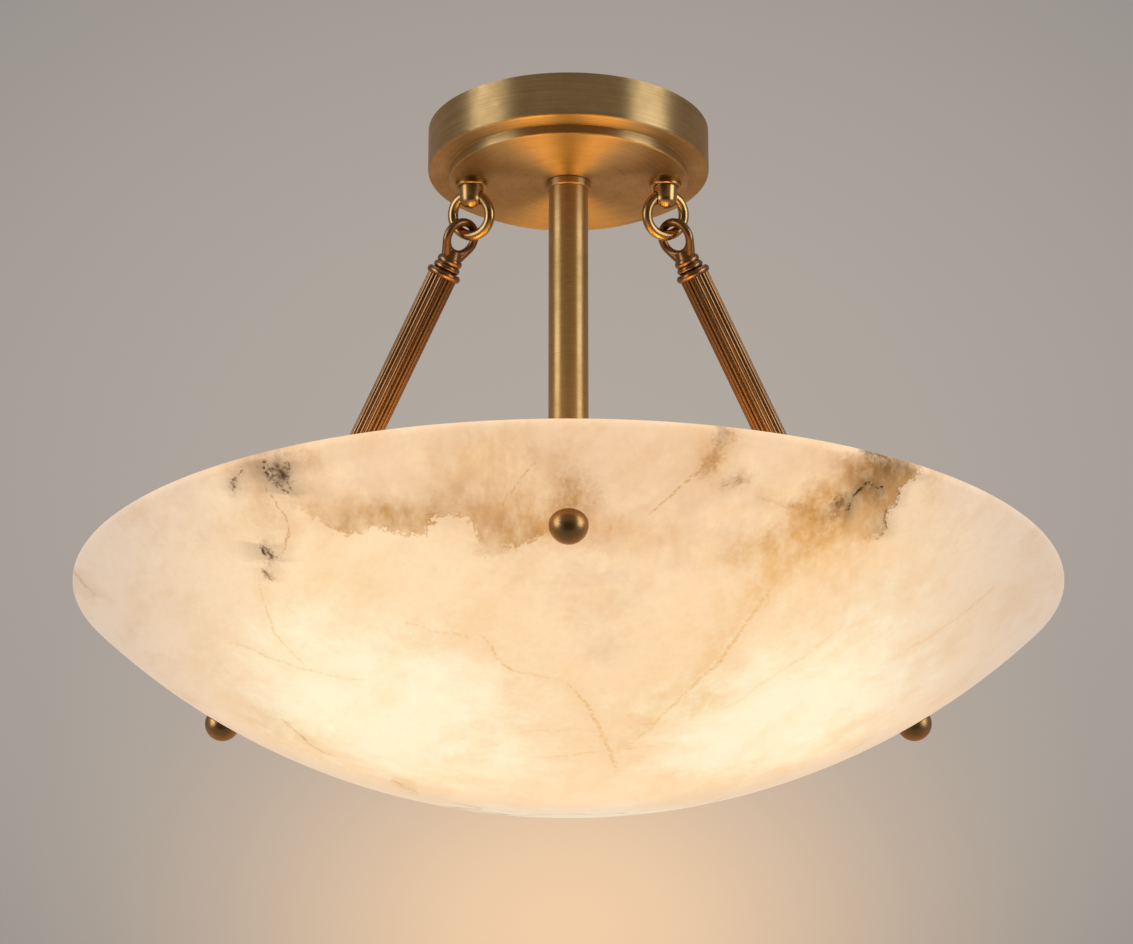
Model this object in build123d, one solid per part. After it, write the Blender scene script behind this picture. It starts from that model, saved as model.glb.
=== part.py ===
from build123d import *

import math
import os

# A semi-flush ceiling light: a stepped canopy, a stem with a lamp cluster and a three-armed carrier,
# an alabaster bowl held by three dome nuts, and two reeded rods that hang from rings under the canopy.
# Millimetres, +Z up. The origin is the middle of the ceiling face, the front is -Y and left is -X.
# An azimuth is in degrees from the front, positive towards the right.

# Clearances
seat_gap = 0.02
turn_gap = 0.05
hole_gap = 0.1
link_gap = 0.95
lower_link_gap = 0.5
ring_hole_gap = 0.4

# Canopy, a spun shell with a lip, a ledge, a step and a flat plate
canopy_radius = 67.6
canopy_wall = 1.4
canopy_side = 20.2
lip_round = 1.6
ledge_width = 10.0
ledge_corner_round = 0.6
step_height = 4.9
plate_edge_round = 1.0

# Mounting bar with slots for the screws of an outlet box
bar_length = 108.0
bar_width = 26.0
bar_thickness = 2.5
bar_flange = 6.0
bar_edge_round = 1.5
box_slot_spacing = 79.4
box_slot_length = 14.5
box_slot_width = 4.8
ground_screw_x = 20.0
ground_screw_radius = 2.0
ground_head_radius = 4.0
ground_head_height = 2.2

# Threaded nipple and its nuts
nipple_radius = 5.0
nipple_bore_radius = 3.3
nipple_top_drop = 0.6
nipple_in_stem = 16.0
nipple_nut_flats = 16.0
nipple_nut_height = 4.0

# Stem, its bushes and the collar under the canopy
stem_radius = 9.5
stem_wall = 1.5
stem_length = 216.3
bush_length = 20.0
collar_wall = 1.3
collar_height = 4.0
collar_round = 0.8

# Eyelets under the canopy plate
eyelet_inset = 20.9
eyelet_flange_radius = 7.6
eyelet_flange_height = 2.4
eyelet_flange_round = 0.8
eyelet_neck_radius = 5.9
eyelet_body_radius = 5.5
eyelet_hole_drop = 5.7
eyelet_nose_drop = 1.8
eyelet_shank_radius = 2.5
eyelet_shank_spare = 1.6
eyelet_nut_flats = 8.0
eyelet_nut_height = 4.0

# Rings
ring_radius = 9.8
ring_wire = 2.5
ring_turn = 25.0

# Rods: a forged eye and a beaded ferrule at each end of a reeded tube
rod_eye_radius = 8.0
rod_eye_wire = 2.0
rod_leg_radius = 2.4
rod_leg_spread = 3.3
rod_eye_turn = 40.0
rod_roll = 45.0
rod_neck_radius = 5.2
rod_neck_top_radius = 3.4
rod_neck_height = 3.6
rod_neck_foot = 0.6
rod_shank_radius = 2.5
rod_shank_length = 22.0
bead_valley_radius = 5.5
bead_radii = (6.2, 6.6)
bead_height = 3.3
band_radius = 8.45
band_height = 3.6
reed_count = 18
reed_crest_radius = 7.2
reed_valley_radius = 6.65

# Bowl, cut from a sphere
bowl_curve_radius = 329.0
bowl_depth = 96.0
bowl_rise = 9.0
bowl_wall = 10.0
bowl_rim_round = 2.6
bowl_hole_radius = 4.0

# Studs, eye bolts, washers and dome nuts that hold the bowl
stud_lean = 35.8
side_azimuth = 120.0
stud_radius = 3.0
stud_nut_flats = 10.0
stud_nut_height = 5.0
stud_spare = 2.5
washer_radius = 7.2
washer_thickness = 1.0
dome_radius = 8.4
dome_bore_depth = 6.5
dome_bore_spare = 0.5
bolt_eye_radius = 6.8
bolt_eye_wire = 2.2
bolt_shoulder_radius = 6.0
bolt_shoulder_height = 2.4

# Carrier arms, plate and the bolt that ties them to the stem
arm_thickness = 3.0
arm_width = 14.0
arm_start = 10.0
arm_bend_x = 118.0
arm_bend_radius = 14.0
arm_tab_length = 18.0
plate_radius = 26.0
plate_thickness = 3.0
arm_screw_spots = (14.0, 21.0)
arm_screw_radius = 1.5
arm_screw_head_radius = 2.7
arm_screw_head_height = 1.8
carrier_bolt_radius = 4.0
carrier_bolt_flats = 13.0
carrier_bolt_head = 5.5
carrier_bolt_in_bush = 14.0

# Lamp cluster, lampholders and lamps
cluster_radius = 22.0
cluster_height = 34.0
cluster_wall = 3.0
cluster_top = 4.0
cluster_round = 3.0
cover_thickness = 2.0
holder_start = 24.0
holder_length = 40.0
holder_radius = 17.0
holder_back_radius = 12.0
holder_back = 6.0
holder_nipple_radius = 5.0
holder_nipple_spare = 2.0
contact_radius = 7.0
contact_thickness = 1.5
contact_post_radius = 4.0
contact_gap = 0.2
lamp_base_radius = 13.0
lamp_base_length = 23.0
lamp_base_taper = 4.0
lamp_button_height = 1.6
lamp_neck_radius = 12.6
lamp_neck_length = 5.0
lamp_neck_sunk = 1.0
lamp_globe_radius = 24.0
lamp_globe_reach = 41.0
lamp_shoulder_angle = 50.0

# Places that follow from the sizes
arc_middle = math.sqrt(0.5)
lip_z = -(canopy_side + lip_round)
plate_z = lip_z - step_height
plate_top_z = plate_z + canopy_wall
eyelet_x = canopy_radius - eyelet_inset
stem_end_z = plate_z - stem_length
stem_bore_radius = stem_radius - stem_wall
bowl_drop = -stem_end_z - bowl_rise
bowl_centre = Vector(0, 0, bowl_curve_radius - bowl_drop - bowl_depth)
bowl_inner_radius = bowl_curve_radius - bowl_wall
inner_seat = math.sqrt(bowl_inner_radius**2 - washer_radius**2) - seat_gap
tab_seat = inner_seat - washer_thickness
tab_face = tab_seat - arm_thickness
dome_seat = bowl_curve_radius + washer_thickness
stud_tip = dome_seat + dome_bore_depth - dome_bore_spare
bolt_eye_seat = tab_face - bolt_shoulder_height - bolt_eye_radius
cluster_end_z = stem_end_z - cluster_height
cover_z = cluster_end_z - cover_thickness
carrier_z = cover_z - plate_thickness
lamp_z = stem_end_z - cluster_height / 2
holder_end = holder_start + holder_length
holder_floor = holder_start + holder_back
lamp_neck_start = holder_end - lamp_neck_sunk
lamp_base_start = lamp_neck_start - lamp_base_length - lamp_base_taper
lamp_button_start = lamp_base_start - lamp_button_height
ferrule_height = bead_height * len(bead_radii) + band_height
ferrule_start = 2 * rod_eye_radius + rod_eye_wire + rod_neck_foot
rod_end_length = ferrule_start + ferrule_height

side_azimuths = {"left": -side_azimuth, "right": side_azimuth}
stud_azimuths = {"front": 0.0, **side_azimuths}
lamp_azimuths = {
    "front_left": -side_azimuth / 2,
    "front_right": side_azimuth / 2,
    "back": 180.0,
}


def outward(azimuth):
    """Level unit vector from the axis towards an azimuth."""
    turn = math.radians(azimuth)
    return Vector(math.sin(turn), -math.cos(turn), 0)


def polar(radius, angle):
    """Flat point at a radius and an angle in degrees."""
    turn = math.radians(angle)
    return (radius * math.cos(turn), radius * math.sin(turn))


def square_to(direction, axis):
    """The part of a direction that is square to an axis, as a unit vector."""
    return (direction - axis * direction.dot(axis)).normalized()


def turned(*lines):
    """Solid of revolution about Z from lines drawn as (radius, height)."""
    edges = [edge for line in lines for edge in line.edges()]
    return revolve(Plane.XZ * make_face(edges), Axis.Z)


def tube(radius, bore, low, high):
    """Round tube along Z between two heights."""
    return Pos(0, 0, low) * extrude(Circle(radius) - Circle(bore), high - low)


def rod_bar(radius, low, high):
    """Round bar along Z between two heights."""
    return Pos(0, 0, low) * extrude(Circle(radius), high - low)


def hex_nut(flats, bore, low, high):
    """Hexagon nut along Z between two heights."""
    outline = RegularPolygon(flats / 2, 6, major_radius=False)
    return Pos(0, 0, low) * extrude(outline - Circle(bore), high - low)


def stud_axis(azimuth):
    """Unit vector out through the bowl's wall, square to it, at a stud."""
    lean = math.radians(stud_lean)
    return outward(azimuth) * math.sin(lean) - Vector(0, 0, math.cos(lean))


def stud_frame(azimuth, sideways=None):
    """Plane at the bowl's centre with Z along a stud."""
    axis = stud_axis(azimuth)
    across = sideways or outward(azimuth + 90)
    return Plane(bowl_centre, x_dir=square_to(across, axis), z_dir=axis)


def lamp_frame(azimuth):
    """Plane on the axis at the lamps' height with Z along a lamp."""
    return Plane((0, 0, lamp_z), x_dir=(0, 0, 1), z_dir=outward(azimuth))


class Hanger:
    """The lines that the ring, the rod and the eye bolt on one side follow."""

    def __init__(self, side):
        out = Vector(-1 if side == "left" else 1, 0, 0)
        self.hole = out * eyelet_x + Vector(0, 0, plate_z - eyelet_hole_drop)
        self.bolt_eye = bowl_centre + stud_axis(side_azimuths[side]) * bolt_eye_seat
        lean = math.atan2(self.bolt_eye.Y - self.hole.Y, self.hole.Z - self.bolt_eye.Z)
        down = Vector(0, math.sin(lean), -math.cos(lean))
        front = Vector(0, -math.cos(lean), -math.sin(lean))
        turn = math.radians(ring_turn)
        self.ring_out = out * math.cos(turn) - front * math.sin(turn)
        self.ring_axis = self.ring_out.cross(down)
        self.ring_centre = self.hole + down * ring_radius
        hook = square_to(self.bolt_eye - self.ring_centre, self.ring_axis)
        self.top = self.ring_centre + hook * (ring_radius - ring_wire - rod_eye_wire - link_gap)
        self.axis = (self.bolt_eye - self.top).normalized()
        lower_reach = bolt_eye_radius - bolt_eye_wire - rod_eye_wire - lower_link_gap
        self.length = (self.bolt_eye - self.top).length - lower_reach
        self.across = square_to(out, self.axis)
        facing = square_to(front, self.axis)
        self.facing = square_to(facing, self.across)

    def wide(self, turn):
        """Direction across the rod's eye when the rod is turned this far."""
        angle = math.radians(turn)
        return self.across * math.cos(angle) + self.facing * math.sin(angle)

    def rod_frame(self):
        """Plane at the top of the upper eye, with Z up along the rod."""
        return Plane(self.top, x_dir=self.wide(rod_eye_turn), z_dir=-self.axis)

    def lower_frame(self):
        """Plane at the bottom of the lower eye, with Z down along the rod."""
        foot = self.top + self.axis * self.length
        return Plane(foot, x_dir=self.wide(rod_eye_turn), z_dir=self.axis)

    def ring_frame(self):
        """Plane through the ring."""
        return Plane(self.ring_centre, x_dir=self.ring_out, z_dir=self.ring_axis)


def mounting_bar():
    """Channel-shaped bar with two long slots, a middle thread and a ground screw hole."""
    web = Box(bar_length, bar_width, bar_thickness, align=(Align.CENTER, Align.CENTER, Align.MAX))
    flange = Box(bar_length, bar_thickness, bar_flange, align=(Align.CENTER, Align.CENTER, Align.MAX))
    edge = (bar_width - bar_thickness) / 2
    bar = web + Pos(0, edge, 0) * flange + Pos(0, -edge, 0) * flange
    bar = fillet(bar.edges().filter_by(Axis.X).group_by(Axis.Z)[-1], bar_edge_round)
    slot = SlotOverall(box_slot_length, box_slot_width)
    for place in (-box_slot_spacing / 2, box_slot_spacing / 2):
        bar -= Pos(place, 0, 0) * extrude(slot, bar_thickness, both=True)
    bar -= rod_bar(nipple_radius + seat_gap, -bar_thickness, 0)
    return bar - Pos(ground_screw_x, 0, 0) * rod_bar(ground_screw_radius + seat_gap, -bar_thickness, 0)


def ground_screw():
    """Pan-headed screw under the bar."""
    shank = rod_bar(ground_screw_radius, -bar_thickness, -seat_gap)
    head = rod_bar(ground_head_radius, -bar_thickness - ground_head_height, -bar_thickness)
    head = fillet(head.edges().sort_by(Axis.Z)[0], ground_head_height / 2)
    return Pos(ground_screw_x, 0, 0) * (shank + head)


def nipple():
    """Hollow threaded nipple from the bar into the stem."""
    return tube(nipple_radius, nipple_bore_radius, plate_z - nipple_in_stem, -nipple_top_drop)


def nipple_nuts():
    """One nut under the bar and one on the canopy plate."""
    bore = nipple_radius + seat_gap
    upper = hex_nut(nipple_nut_flats, bore, -bar_thickness - nipple_nut_height, -bar_thickness)
    lower = hex_nut(nipple_nut_flats, bore, plate_top_z, plate_top_z + nipple_nut_height)
    return Compound(children=[upper, lower])


def canopy():
    """Spun shell: drum, rounded lip, flat ledge, upright step and flat plate."""
    edge = canopy_radius - ledge_width
    inner = canopy_radius - canopy_wall
    hole = nipple_radius + hole_gap
    corner_high = (edge + ledge_corner_round, lip_z)
    corner_low = (edge, lip_z - ledge_corner_round)
    edge_high = (edge, plate_z + plate_edge_round)
    edge_low = (edge - plate_edge_round, plate_z)
    shell = turned(
        Line((canopy_radius, 0), (canopy_radius, -canopy_side)),
        RadiusArc((canopy_radius, -canopy_side), (canopy_radius - lip_round, lip_z), lip_round),
        Line((canopy_radius - lip_round, lip_z), corner_high),
        RadiusArc(corner_high, corner_low, -ledge_corner_round),
        Line(corner_low, edge_high),
        RadiusArc(edge_high, edge_low, plate_edge_round),
        Polyline(
            edge_low,
            (hole, plate_z),
            (hole, plate_top_z),
            (edge - canopy_wall, plate_top_z),
            (edge - canopy_wall, lip_z + canopy_wall),
            (inner, lip_z + canopy_wall),
            (inner, 0),
            (canopy_radius, 0),
        ),
    )
    for place in (-eyelet_x, eyelet_x):
        shell -= Pos(place, 0, 0) * rod_bar(eyelet_shank_radius + seat_gap, plate_z, plate_top_z)
    return shell


def eyelet(side):
    """Bell-shaped knob with a flange, a threaded shank and a curved hole for the ring."""
    hanger = Hanger(side)
    flange_low = plate_z - eyelet_flange_height
    hole_z = plate_z - eyelet_hole_drop
    nose_z = hole_z - eyelet_nose_drop
    tip_z = nose_z - eyelet_body_radius
    shank_top = plate_top_z + eyelet_nut_height + eyelet_shank_spare
    round_start = (eyelet_flange_radius, flange_low + eyelet_flange_round)
    round_end = (eyelet_flange_radius - eyelet_flange_round, flange_low)
    knob = turned(
        Polyline(
            (0, tip_z),
            (0, shank_top),
            (eyelet_shank_radius, shank_top),
            (eyelet_shank_radius, plate_z),
            (eyelet_flange_radius, plate_z),
            round_start,
        ),
        RadiusArc(round_start, round_end, eyelet_flange_round),
        Polyline(round_end, (eyelet_neck_radius, flange_low), (eyelet_body_radius, nose_z)),
        RadiusArc((eyelet_body_radius, nose_z), (0, tip_z), eyelet_body_radius),
    )
    hole = hanger.ring_frame() * Torus(ring_radius, ring_wire + ring_hole_gap)
    return Pos(hanger.hole.X, 0, 0) * knob - hole


def eyelet_nuts():
    """Nuts on the eyelets' shanks, inside the canopy."""
    nut = hex_nut(
        eyelet_nut_flats, eyelet_shank_radius + seat_gap, plate_top_z, plate_top_z + eyelet_nut_height
    )
    return Compound(children=[Pos(place, 0, 0) * nut for place in (-eyelet_x, eyelet_x)])


def ring(side):
    """Round ring between an eyelet and a rod."""
    return Hanger(side).ring_frame() * Torus(ring_radius, ring_wire)


def rod_leg():
    """Tapered leg from the side of a rod's eye down to its foot, where it meets the ferrule."""
    foot = Vector(rod_leg_spread, 0, -ferrule_start)
    centre = Vector(0, 0, -rod_eye_radius)
    down = foot - centre
    turn = math.atan2(down.Z, down.X) + math.acos(rod_eye_radius / down.length)
    start = centre + Vector(math.cos(turn), 0, math.sin(turn)) * rod_eye_radius
    length = (foot - start).length
    leg = Pos(0, 0, length / 2) * Cone(rod_eye_wire, rod_leg_radius, length)
    return Plane(start, x_dir=(0, 1, 0), z_dir=foot - start) * leg


def rod_eye():
    """Forged eye with two legs, a neck and a shank, its outer wire at the origin and Z away from the rod."""
    middle = Pos(0, 0, -rod_eye_radius) * Rot(90, 0, 0)
    loop = middle * Torus(rod_eye_radius, rod_eye_wire)
    neck_mid = -ferrule_start + rod_neck_height / 2
    neck = Pos(0, 0, neck_mid) * Cone(rod_neck_radius, rod_neck_top_radius, rod_neck_height)
    shank = rod_bar(rod_shank_radius, -ferrule_start - rod_shank_length, -ferrule_start)
    opening = middle * Cylinder(rod_eye_radius - rod_eye_wire, 2 * rod_eye_radius)
    below = rod_bar(rod_eye_radius, -ferrule_start - rod_eye_radius, -ferrule_start)
    leg = rod_leg() - below
    return loop + (neck - opening) + leg + mirror(leg, about=Plane.YZ) + shank


def rod_ferrule():
    """Turned ferrule of narrow beads and one wide band, below an eye at the origin."""
    bore = rod_shank_radius + seat_gap
    foot = -ferrule_start - ferrule_height
    lines = [Polyline((bore, foot), (bore, -ferrule_start), (bead_valley_radius, -ferrule_start))]
    height = -ferrule_start
    for crest in bead_radii:
        low = height - bead_height
        middle = (crest, (height + low) / 2)
        lines.append(ThreePointArc((bead_valley_radius, height), middle, (bead_valley_radius, low)))
        height = low
    shoulder = reed_crest_radius
    lines.append(Line((bead_valley_radius, height), (shoulder, height)))
    lines.append(ThreePointArc((shoulder, height), (band_radius, (height + foot) / 2), (shoulder, foot)))
    lines.append(Line((shoulder, foot), (bore, foot)))
    return turned(*lines)


def rod_shaft(side):
    """Tube with convex reeds along its whole length."""
    hanger = Hanger(side)
    step = 360 / reed_count
    reeds = []
    for number in range(reed_count):
        start = polar(reed_valley_radius, number * step)
        crest = polar(reed_crest_radius, (number + 0.5) * step)
        end = polar(reed_valley_radius, (number + 1) * step)
        reeds.append(ThreePointArc(start, crest, end))
    section = make_face(reeds) - Circle(rod_shank_radius + seat_gap)
    shaft = extrude(section, hanger.length - 2 * rod_end_length)
    return hanger.rod_frame() * Pos(0, 0, rod_end_length - hanger.length) * shaft


def stem():
    """Plain tube from the canopy plate down to the lamp cluster."""
    return tube(stem_radius, stem_bore_radius, stem_end_z, plate_z)


def stem_top_bush():
    """Bush in the stem's top, screwed on to the nipple."""
    return tube(stem_bore_radius - seat_gap, nipple_radius + seat_gap, plate_z - bush_length, plate_z)


def stem_bottom_bush():
    """Bush in the stem's foot, which takes the carrier's bolt."""
    bore = carrier_bolt_radius + seat_gap
    return tube(stem_bore_radius - seat_gap, bore, stem_end_z, stem_end_z + bush_length)


def canopy_collar():
    """Thin screw collar round the stem that holds the canopy up."""
    bore = stem_radius + turn_gap
    top = plate_z - turn_gap
    collar = tube(bore + collar_wall, bore, top - collar_height, top)
    return fillet(collar.edges().filter_by(GeomType.CIRCLE).sort_by(SortBy.RADIUS)[-2:], collar_round)


def cluster_body():
    """Cup, open below, with a hole for each lampholder's nipple."""
    bore = carrier_bolt_radius + hole_gap
    cup = rod_bar(cluster_radius, cluster_end_z, stem_end_z)
    cup = fillet(cup.edges().sort_by(Axis.Z)[-1], cluster_round)
    cup -= rod_bar(cluster_radius - cluster_wall, cluster_end_z, stem_end_z - cluster_top)
    cup -= rod_bar(bore, stem_end_z - cluster_top, stem_end_z)
    for azimuth in lamp_azimuths.values():
        cup -= lamp_frame(azimuth) * rod_bar(holder_nipple_radius + seat_gap, 0, holder_start)
    return cup


def cluster_cover():
    """Disc that closes the cluster from below."""
    return tube(cluster_radius, carrier_bolt_radius + hole_gap, cover_z, cluster_end_z)


def holder_nipples():
    """Short threaded nipples from the cluster into the lampholders."""
    inner = cluster_radius - cluster_wall - holder_nipple_spare
    bar = tube(holder_nipple_radius, nipple_bore_radius, inner, holder_floor)
    return Compound(children=[lamp_frame(azimuth) * bar for azimuth in lamp_azimuths.values()])


def lampholder(azimuth):
    """Round-backed lampholder, open at the front for a screw-in lamp."""
    bore = lamp_base_radius + turn_gap
    back_hole = holder_nipple_radius + seat_gap
    back_round = holder_radius - holder_back_radius
    back_mid = (holder_back_radius + back_round * arc_middle, holder_start + back_round * (1 - arc_middle))
    shell = turned(
        Line((back_hole, holder_start), (holder_back_radius, holder_start)),
        ThreePointArc(
            (holder_back_radius, holder_start), back_mid, (holder_radius, holder_start + back_round)
        ),
        Polyline(
            (holder_radius, holder_start + back_round),
            (holder_radius, holder_end),
            (bore, holder_end),
            (bore, holder_floor),
            (back_hole, holder_floor),
            (back_hole, holder_start),
        ),
    )
    return lamp_frame(azimuth) * shell


def holder_contacts():
    """Middle contacts on the floors of the lampholders."""
    tip = lamp_button_start - contact_gap
    contact = rod_bar(contact_radius, holder_floor, holder_floor + contact_thickness)
    contact += rod_bar(contact_post_radius, holder_floor, tip)
    return Compound(children=[lamp_frame(azimuth) * contact for azimuth in lamp_azimuths.values()])


def lamp_base(azimuth):
    """Screw base of a lamp with its contact button."""
    shell_start = lamp_base_start + lamp_base_taper
    base = turned(
        Polyline(
            (0, lamp_button_start),
            (contact_post_radius, lamp_button_start),
            (contact_post_radius, lamp_base_start),
            (lamp_base_radius - lamp_base_taper, lamp_base_start),
            (lamp_base_radius, shell_start),
            (lamp_base_radius, lamp_neck_start),
            (0, lamp_neck_start),
            (0, lamp_button_start),
        )
    )
    return lamp_frame(azimuth) * base


def lamp_globe(azimuth):
    """Frosted globe of a lamp, from its neck to its tip."""
    neck_end = lamp_neck_start + lamp_neck_length
    middle = lamp_neck_start + lamp_globe_reach
    turn = math.radians(lamp_shoulder_angle)
    shoulder = (lamp_globe_radius * math.sin(turn), middle - lamp_globe_radius * math.cos(turn))
    tip = middle + lamp_globe_radius
    globe = turned(
        Polyline(
            (0, tip),
            (0, lamp_neck_start),
            (lamp_neck_radius, lamp_neck_start),
            (lamp_neck_radius, neck_end),
        ),
        TangentArc((lamp_neck_radius, neck_end), shoulder, tangent=(0, 1)),
        ThreePointArc(shoulder, (lamp_globe_radius, middle), (0, tip)),
    )
    return lamp_frame(azimuth) * globe


def carrier_plate():
    """Round plate that the three arms are screwed to."""
    plate = tube(plate_radius, carrier_bolt_radius + hole_gap, carrier_z, cover_z)
    for azimuth in stud_azimuths.values():
        for reach in arm_screw_spots:
            spot = outward(azimuth) * reach
            plate -= Pos(spot.X, spot.Y, 0) * rod_bar(arm_screw_radius + hole_gap, carrier_z, cover_z)
    return plate


def carrier_arm(azimuth):
    """Flat bar, bent up twice so that its end lies along the bowl's wall."""
    lean = math.radians(stud_lean)
    reach = (tab_face + tab_seat) / 2
    level = carrier_z - arm_thickness / 2
    tab_x = reach * math.sin(lean)
    tab_z = bowl_centre.Z - reach * math.cos(lean)
    half = arm_tab_length / 2
    tab_in = (tab_x - half * math.cos(lean), tab_z - half * math.sin(lean))
    tab_out = (tab_x + half * math.cos(lean), tab_z + half * math.sin(lean))
    line = FilletPolyline((arm_start, level), (arm_bend_x, level), tab_in, tab_out, radius=arm_bend_radius)
    arm = extrude(Plane.XZ * trace(line, arm_thickness), arm_width / 2, both=True)
    for spot in arm_screw_spots:
        arm -= Pos(spot, 0, 0) * rod_bar(arm_screw_radius + hole_gap, carrier_z - arm_thickness, carrier_z)
    arm = Rot(0, 0, azimuth - 90) * arm
    return arm - stud_frame(azimuth) * rod_bar(stud_radius + hole_gap, tab_face, tab_seat)


def arm_screws():
    """Screws that hold the arms under the carrier plate."""
    low = carrier_z - arm_thickness
    screw = rod_bar(arm_screw_radius, low, cover_z - hole_gap)
    screw += rod_bar(arm_screw_head_radius, low - arm_screw_head_height, low)
    screws = []
    for azimuth in stud_azimuths.values():
        for reach in arm_screw_spots:
            spot = outward(azimuth) * reach
            screws.append(Pos(spot.X, spot.Y, 0) * screw)
    return Compound(children=screws)


def carrier_bolt():
    """Long bolt that ties the carrier plate and the cluster to the stem."""
    low = carrier_z - carrier_bolt_head
    head = extrude(RegularPolygon(carrier_bolt_flats / 2, 6, major_radius=False), carrier_bolt_head)
    return Pos(0, 0, low) * head + rod_bar(carrier_bolt_radius, low, stem_end_z + carrier_bolt_in_bush)


def bowl():
    """Shallow bowl of one curve with a rounded rim and three drilled holes."""
    foot = bowl_centre.Z - bowl_curve_radius
    rim_rise = -bowl_drop - bowl_centre.Z
    outer_rim = math.sqrt(bowl_curve_radius**2 - rim_rise**2)
    inner_rim = math.sqrt(bowl_inner_radius**2 - rim_rise**2)
    outer_mid = polar(bowl_curve_radius, -90 + math.degrees(math.asin(outer_rim / bowl_curve_radius)) / 2)
    inner_mid = polar(bowl_inner_radius, -90 + math.degrees(math.asin(inner_rim / bowl_inner_radius)) / 2)
    section = make_face(
        [
            ThreePointArc((0, foot), (outer_mid[0], outer_mid[1] + bowl_centre.Z), (outer_rim, -bowl_drop)),
            Line((outer_rim, -bowl_drop), (inner_rim, -bowl_drop)),
            ThreePointArc(
                (inner_rim, -bowl_drop), (inner_mid[0], inner_mid[1] + bowl_centre.Z), (0, foot + bowl_wall)
            ),
            Line((0, foot + bowl_wall), (0, foot)),
        ]
    )
    section = fillet(section.vertices().group_by(Axis.Y)[-1], bowl_rim_round)
    shell = revolve(Plane.XZ * section, Axis.Z)
    for azimuth in stud_azimuths.values():
        shell -= stud_frame(azimuth) * rod_bar(bowl_hole_radius, bowl_inner_radius - bowl_wall, dome_seat)
    return shell


def washers(low, high):
    """Soft washers round the three studs, on one side of the bowl's wall."""
    washer = tube(washer_radius, stud_radius + hole_gap, low, high)
    return Compound(children=[stud_frame(azimuth) * washer for azimuth in stud_azimuths.values()])


def eye_bolt(side):
    """Bolt through the bowl's wall whose eye holds the foot of a rod."""
    hanger = Hanger(side)
    frame = stud_frame(side_azimuths[side], hanger.wide(rod_eye_turn + rod_roll / 2))
    eye = Pos(0, 0, bolt_eye_seat) * Rot(0, 90, 0) * Torus(bolt_eye_radius, bolt_eye_wire)
    opening = Pos(0, 0, bolt_eye_seat) * Rot(0, 90, 0)
    opening = opening * Cylinder(bolt_eye_radius - bolt_eye_wire, 4 * bolt_shoulder_radius)
    shoulder = rod_bar(bolt_shoulder_radius, tab_face - bolt_shoulder_height, tab_face)
    shank = rod_bar(stud_radius, tab_face, stud_tip)
    return frame * (eye + (shoulder - opening) + shank)


def front_stud():
    """Plain threaded stud through the front of the bowl."""
    low = tab_face - stud_nut_height - stud_spare
    return stud_frame(stud_azimuths["front"]) * rod_bar(stud_radius, low, stud_tip)


def front_stud_nut():
    """Nut that clamps the front stud to its carrier arm."""
    nut = hex_nut(stud_nut_flats, stud_radius + seat_gap, tab_face - stud_nut_height, tab_face)
    return stud_frame(stud_azimuths["front"]) * nut


def dome_nut(azimuth):
    """Half-ball nut on the outside of the bowl."""
    ball = Pos(0, 0, dome_seat) * Sphere(dome_radius)
    half = ball - rod_bar(2 * dome_radius, dome_seat - 2 * dome_radius, dome_seat)
    half -= rod_bar(stud_radius + turn_gap, dome_seat, dome_seat + dome_bore_depth)
    return stud_frame(azimuth) * half


def rod_pieces(side):
    """The five pieces of one rod, by name."""
    hanger = Hanger(side)
    pieces = {f"rod_{side}_shaft": rod_shaft(side)}
    for end, frame in (("upper", hanger.rod_frame()), ("lower", hanger.lower_frame())):
        pieces[f"rod_{side}_{end}_eye"] = frame * rod_eye()
        pieces[f"rod_{side}_{end}_ferrule"] = frame * rod_ferrule()
    return pieces


def all_pieces():
    """Every piece of the light, by node name."""
    pieces = {
        "mounting_bar": mounting_bar(),
        "ground_screw": ground_screw(),
        "nipple": nipple(),
        "nipple_nuts": nipple_nuts(),
        "canopy": canopy(),
        "eyelet_nuts": eyelet_nuts(),
        "stem": stem(),
        "stem_top_bush": stem_top_bush(),
        "stem_bottom_bush": stem_bottom_bush(),
        "canopy_collar": canopy_collar(),
        "cluster_body": cluster_body(),
        "cluster_cover": cluster_cover(),
        "holder_nipples": holder_nipples(),
        "holder_contacts": holder_contacts(),
        "carrier_plate": carrier_plate(),
        "carrier_bolt": carrier_bolt(),
        "arm_screws": arm_screws(),
        "bowl": bowl(),
        "bowl_inner_washers": washers(tab_seat, inner_seat),
        "bowl_outer_washers": washers(bowl_curve_radius, dome_seat),
        "front_stud": front_stud(),
        "front_stud_nut": front_stud_nut(),
    }
    for name, azimuth in stud_azimuths.items():
        pieces[f"carrier_arm_{name}"] = carrier_arm(azimuth)
        pieces[f"dome_nut_{name}"] = dome_nut(azimuth)
    for side in side_azimuths:
        pieces[f"eyelet_{side}"] = eyelet(side)
        pieces[f"ring_{side}"] = ring(side)
        pieces[f"eye_bolt_{side}"] = eye_bolt(side)
        pieces.update(rod_pieces(side))
    for name, azimuth in lamp_azimuths.items():
        pieces[f"lampholder_{name}"] = lampholder(azimuth)
        pieces[f"lamp_{name}_base"] = lamp_base(azimuth)
        pieces[f"lamp_{name}_globe"] = lamp_globe(azimuth)
    return pieces


def main():
    """Write one STEP file for each piece."""
    os.makedirs("parts", exist_ok=True)
    for name, piece in all_pieces().items():
        export_step(piece, f"parts/{name}.step")


if __name__ == "__main__":
    main()
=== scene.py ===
"""Alabaster semi-flush ceiling light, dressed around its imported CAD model."""

import logging
import math
from dataclasses import dataclass
from enum import Enum
from typing import Dict, List, Sequence, Tuple, Union

import bmesh
import bpy
from mathutils import Matrix, Vector


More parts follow.
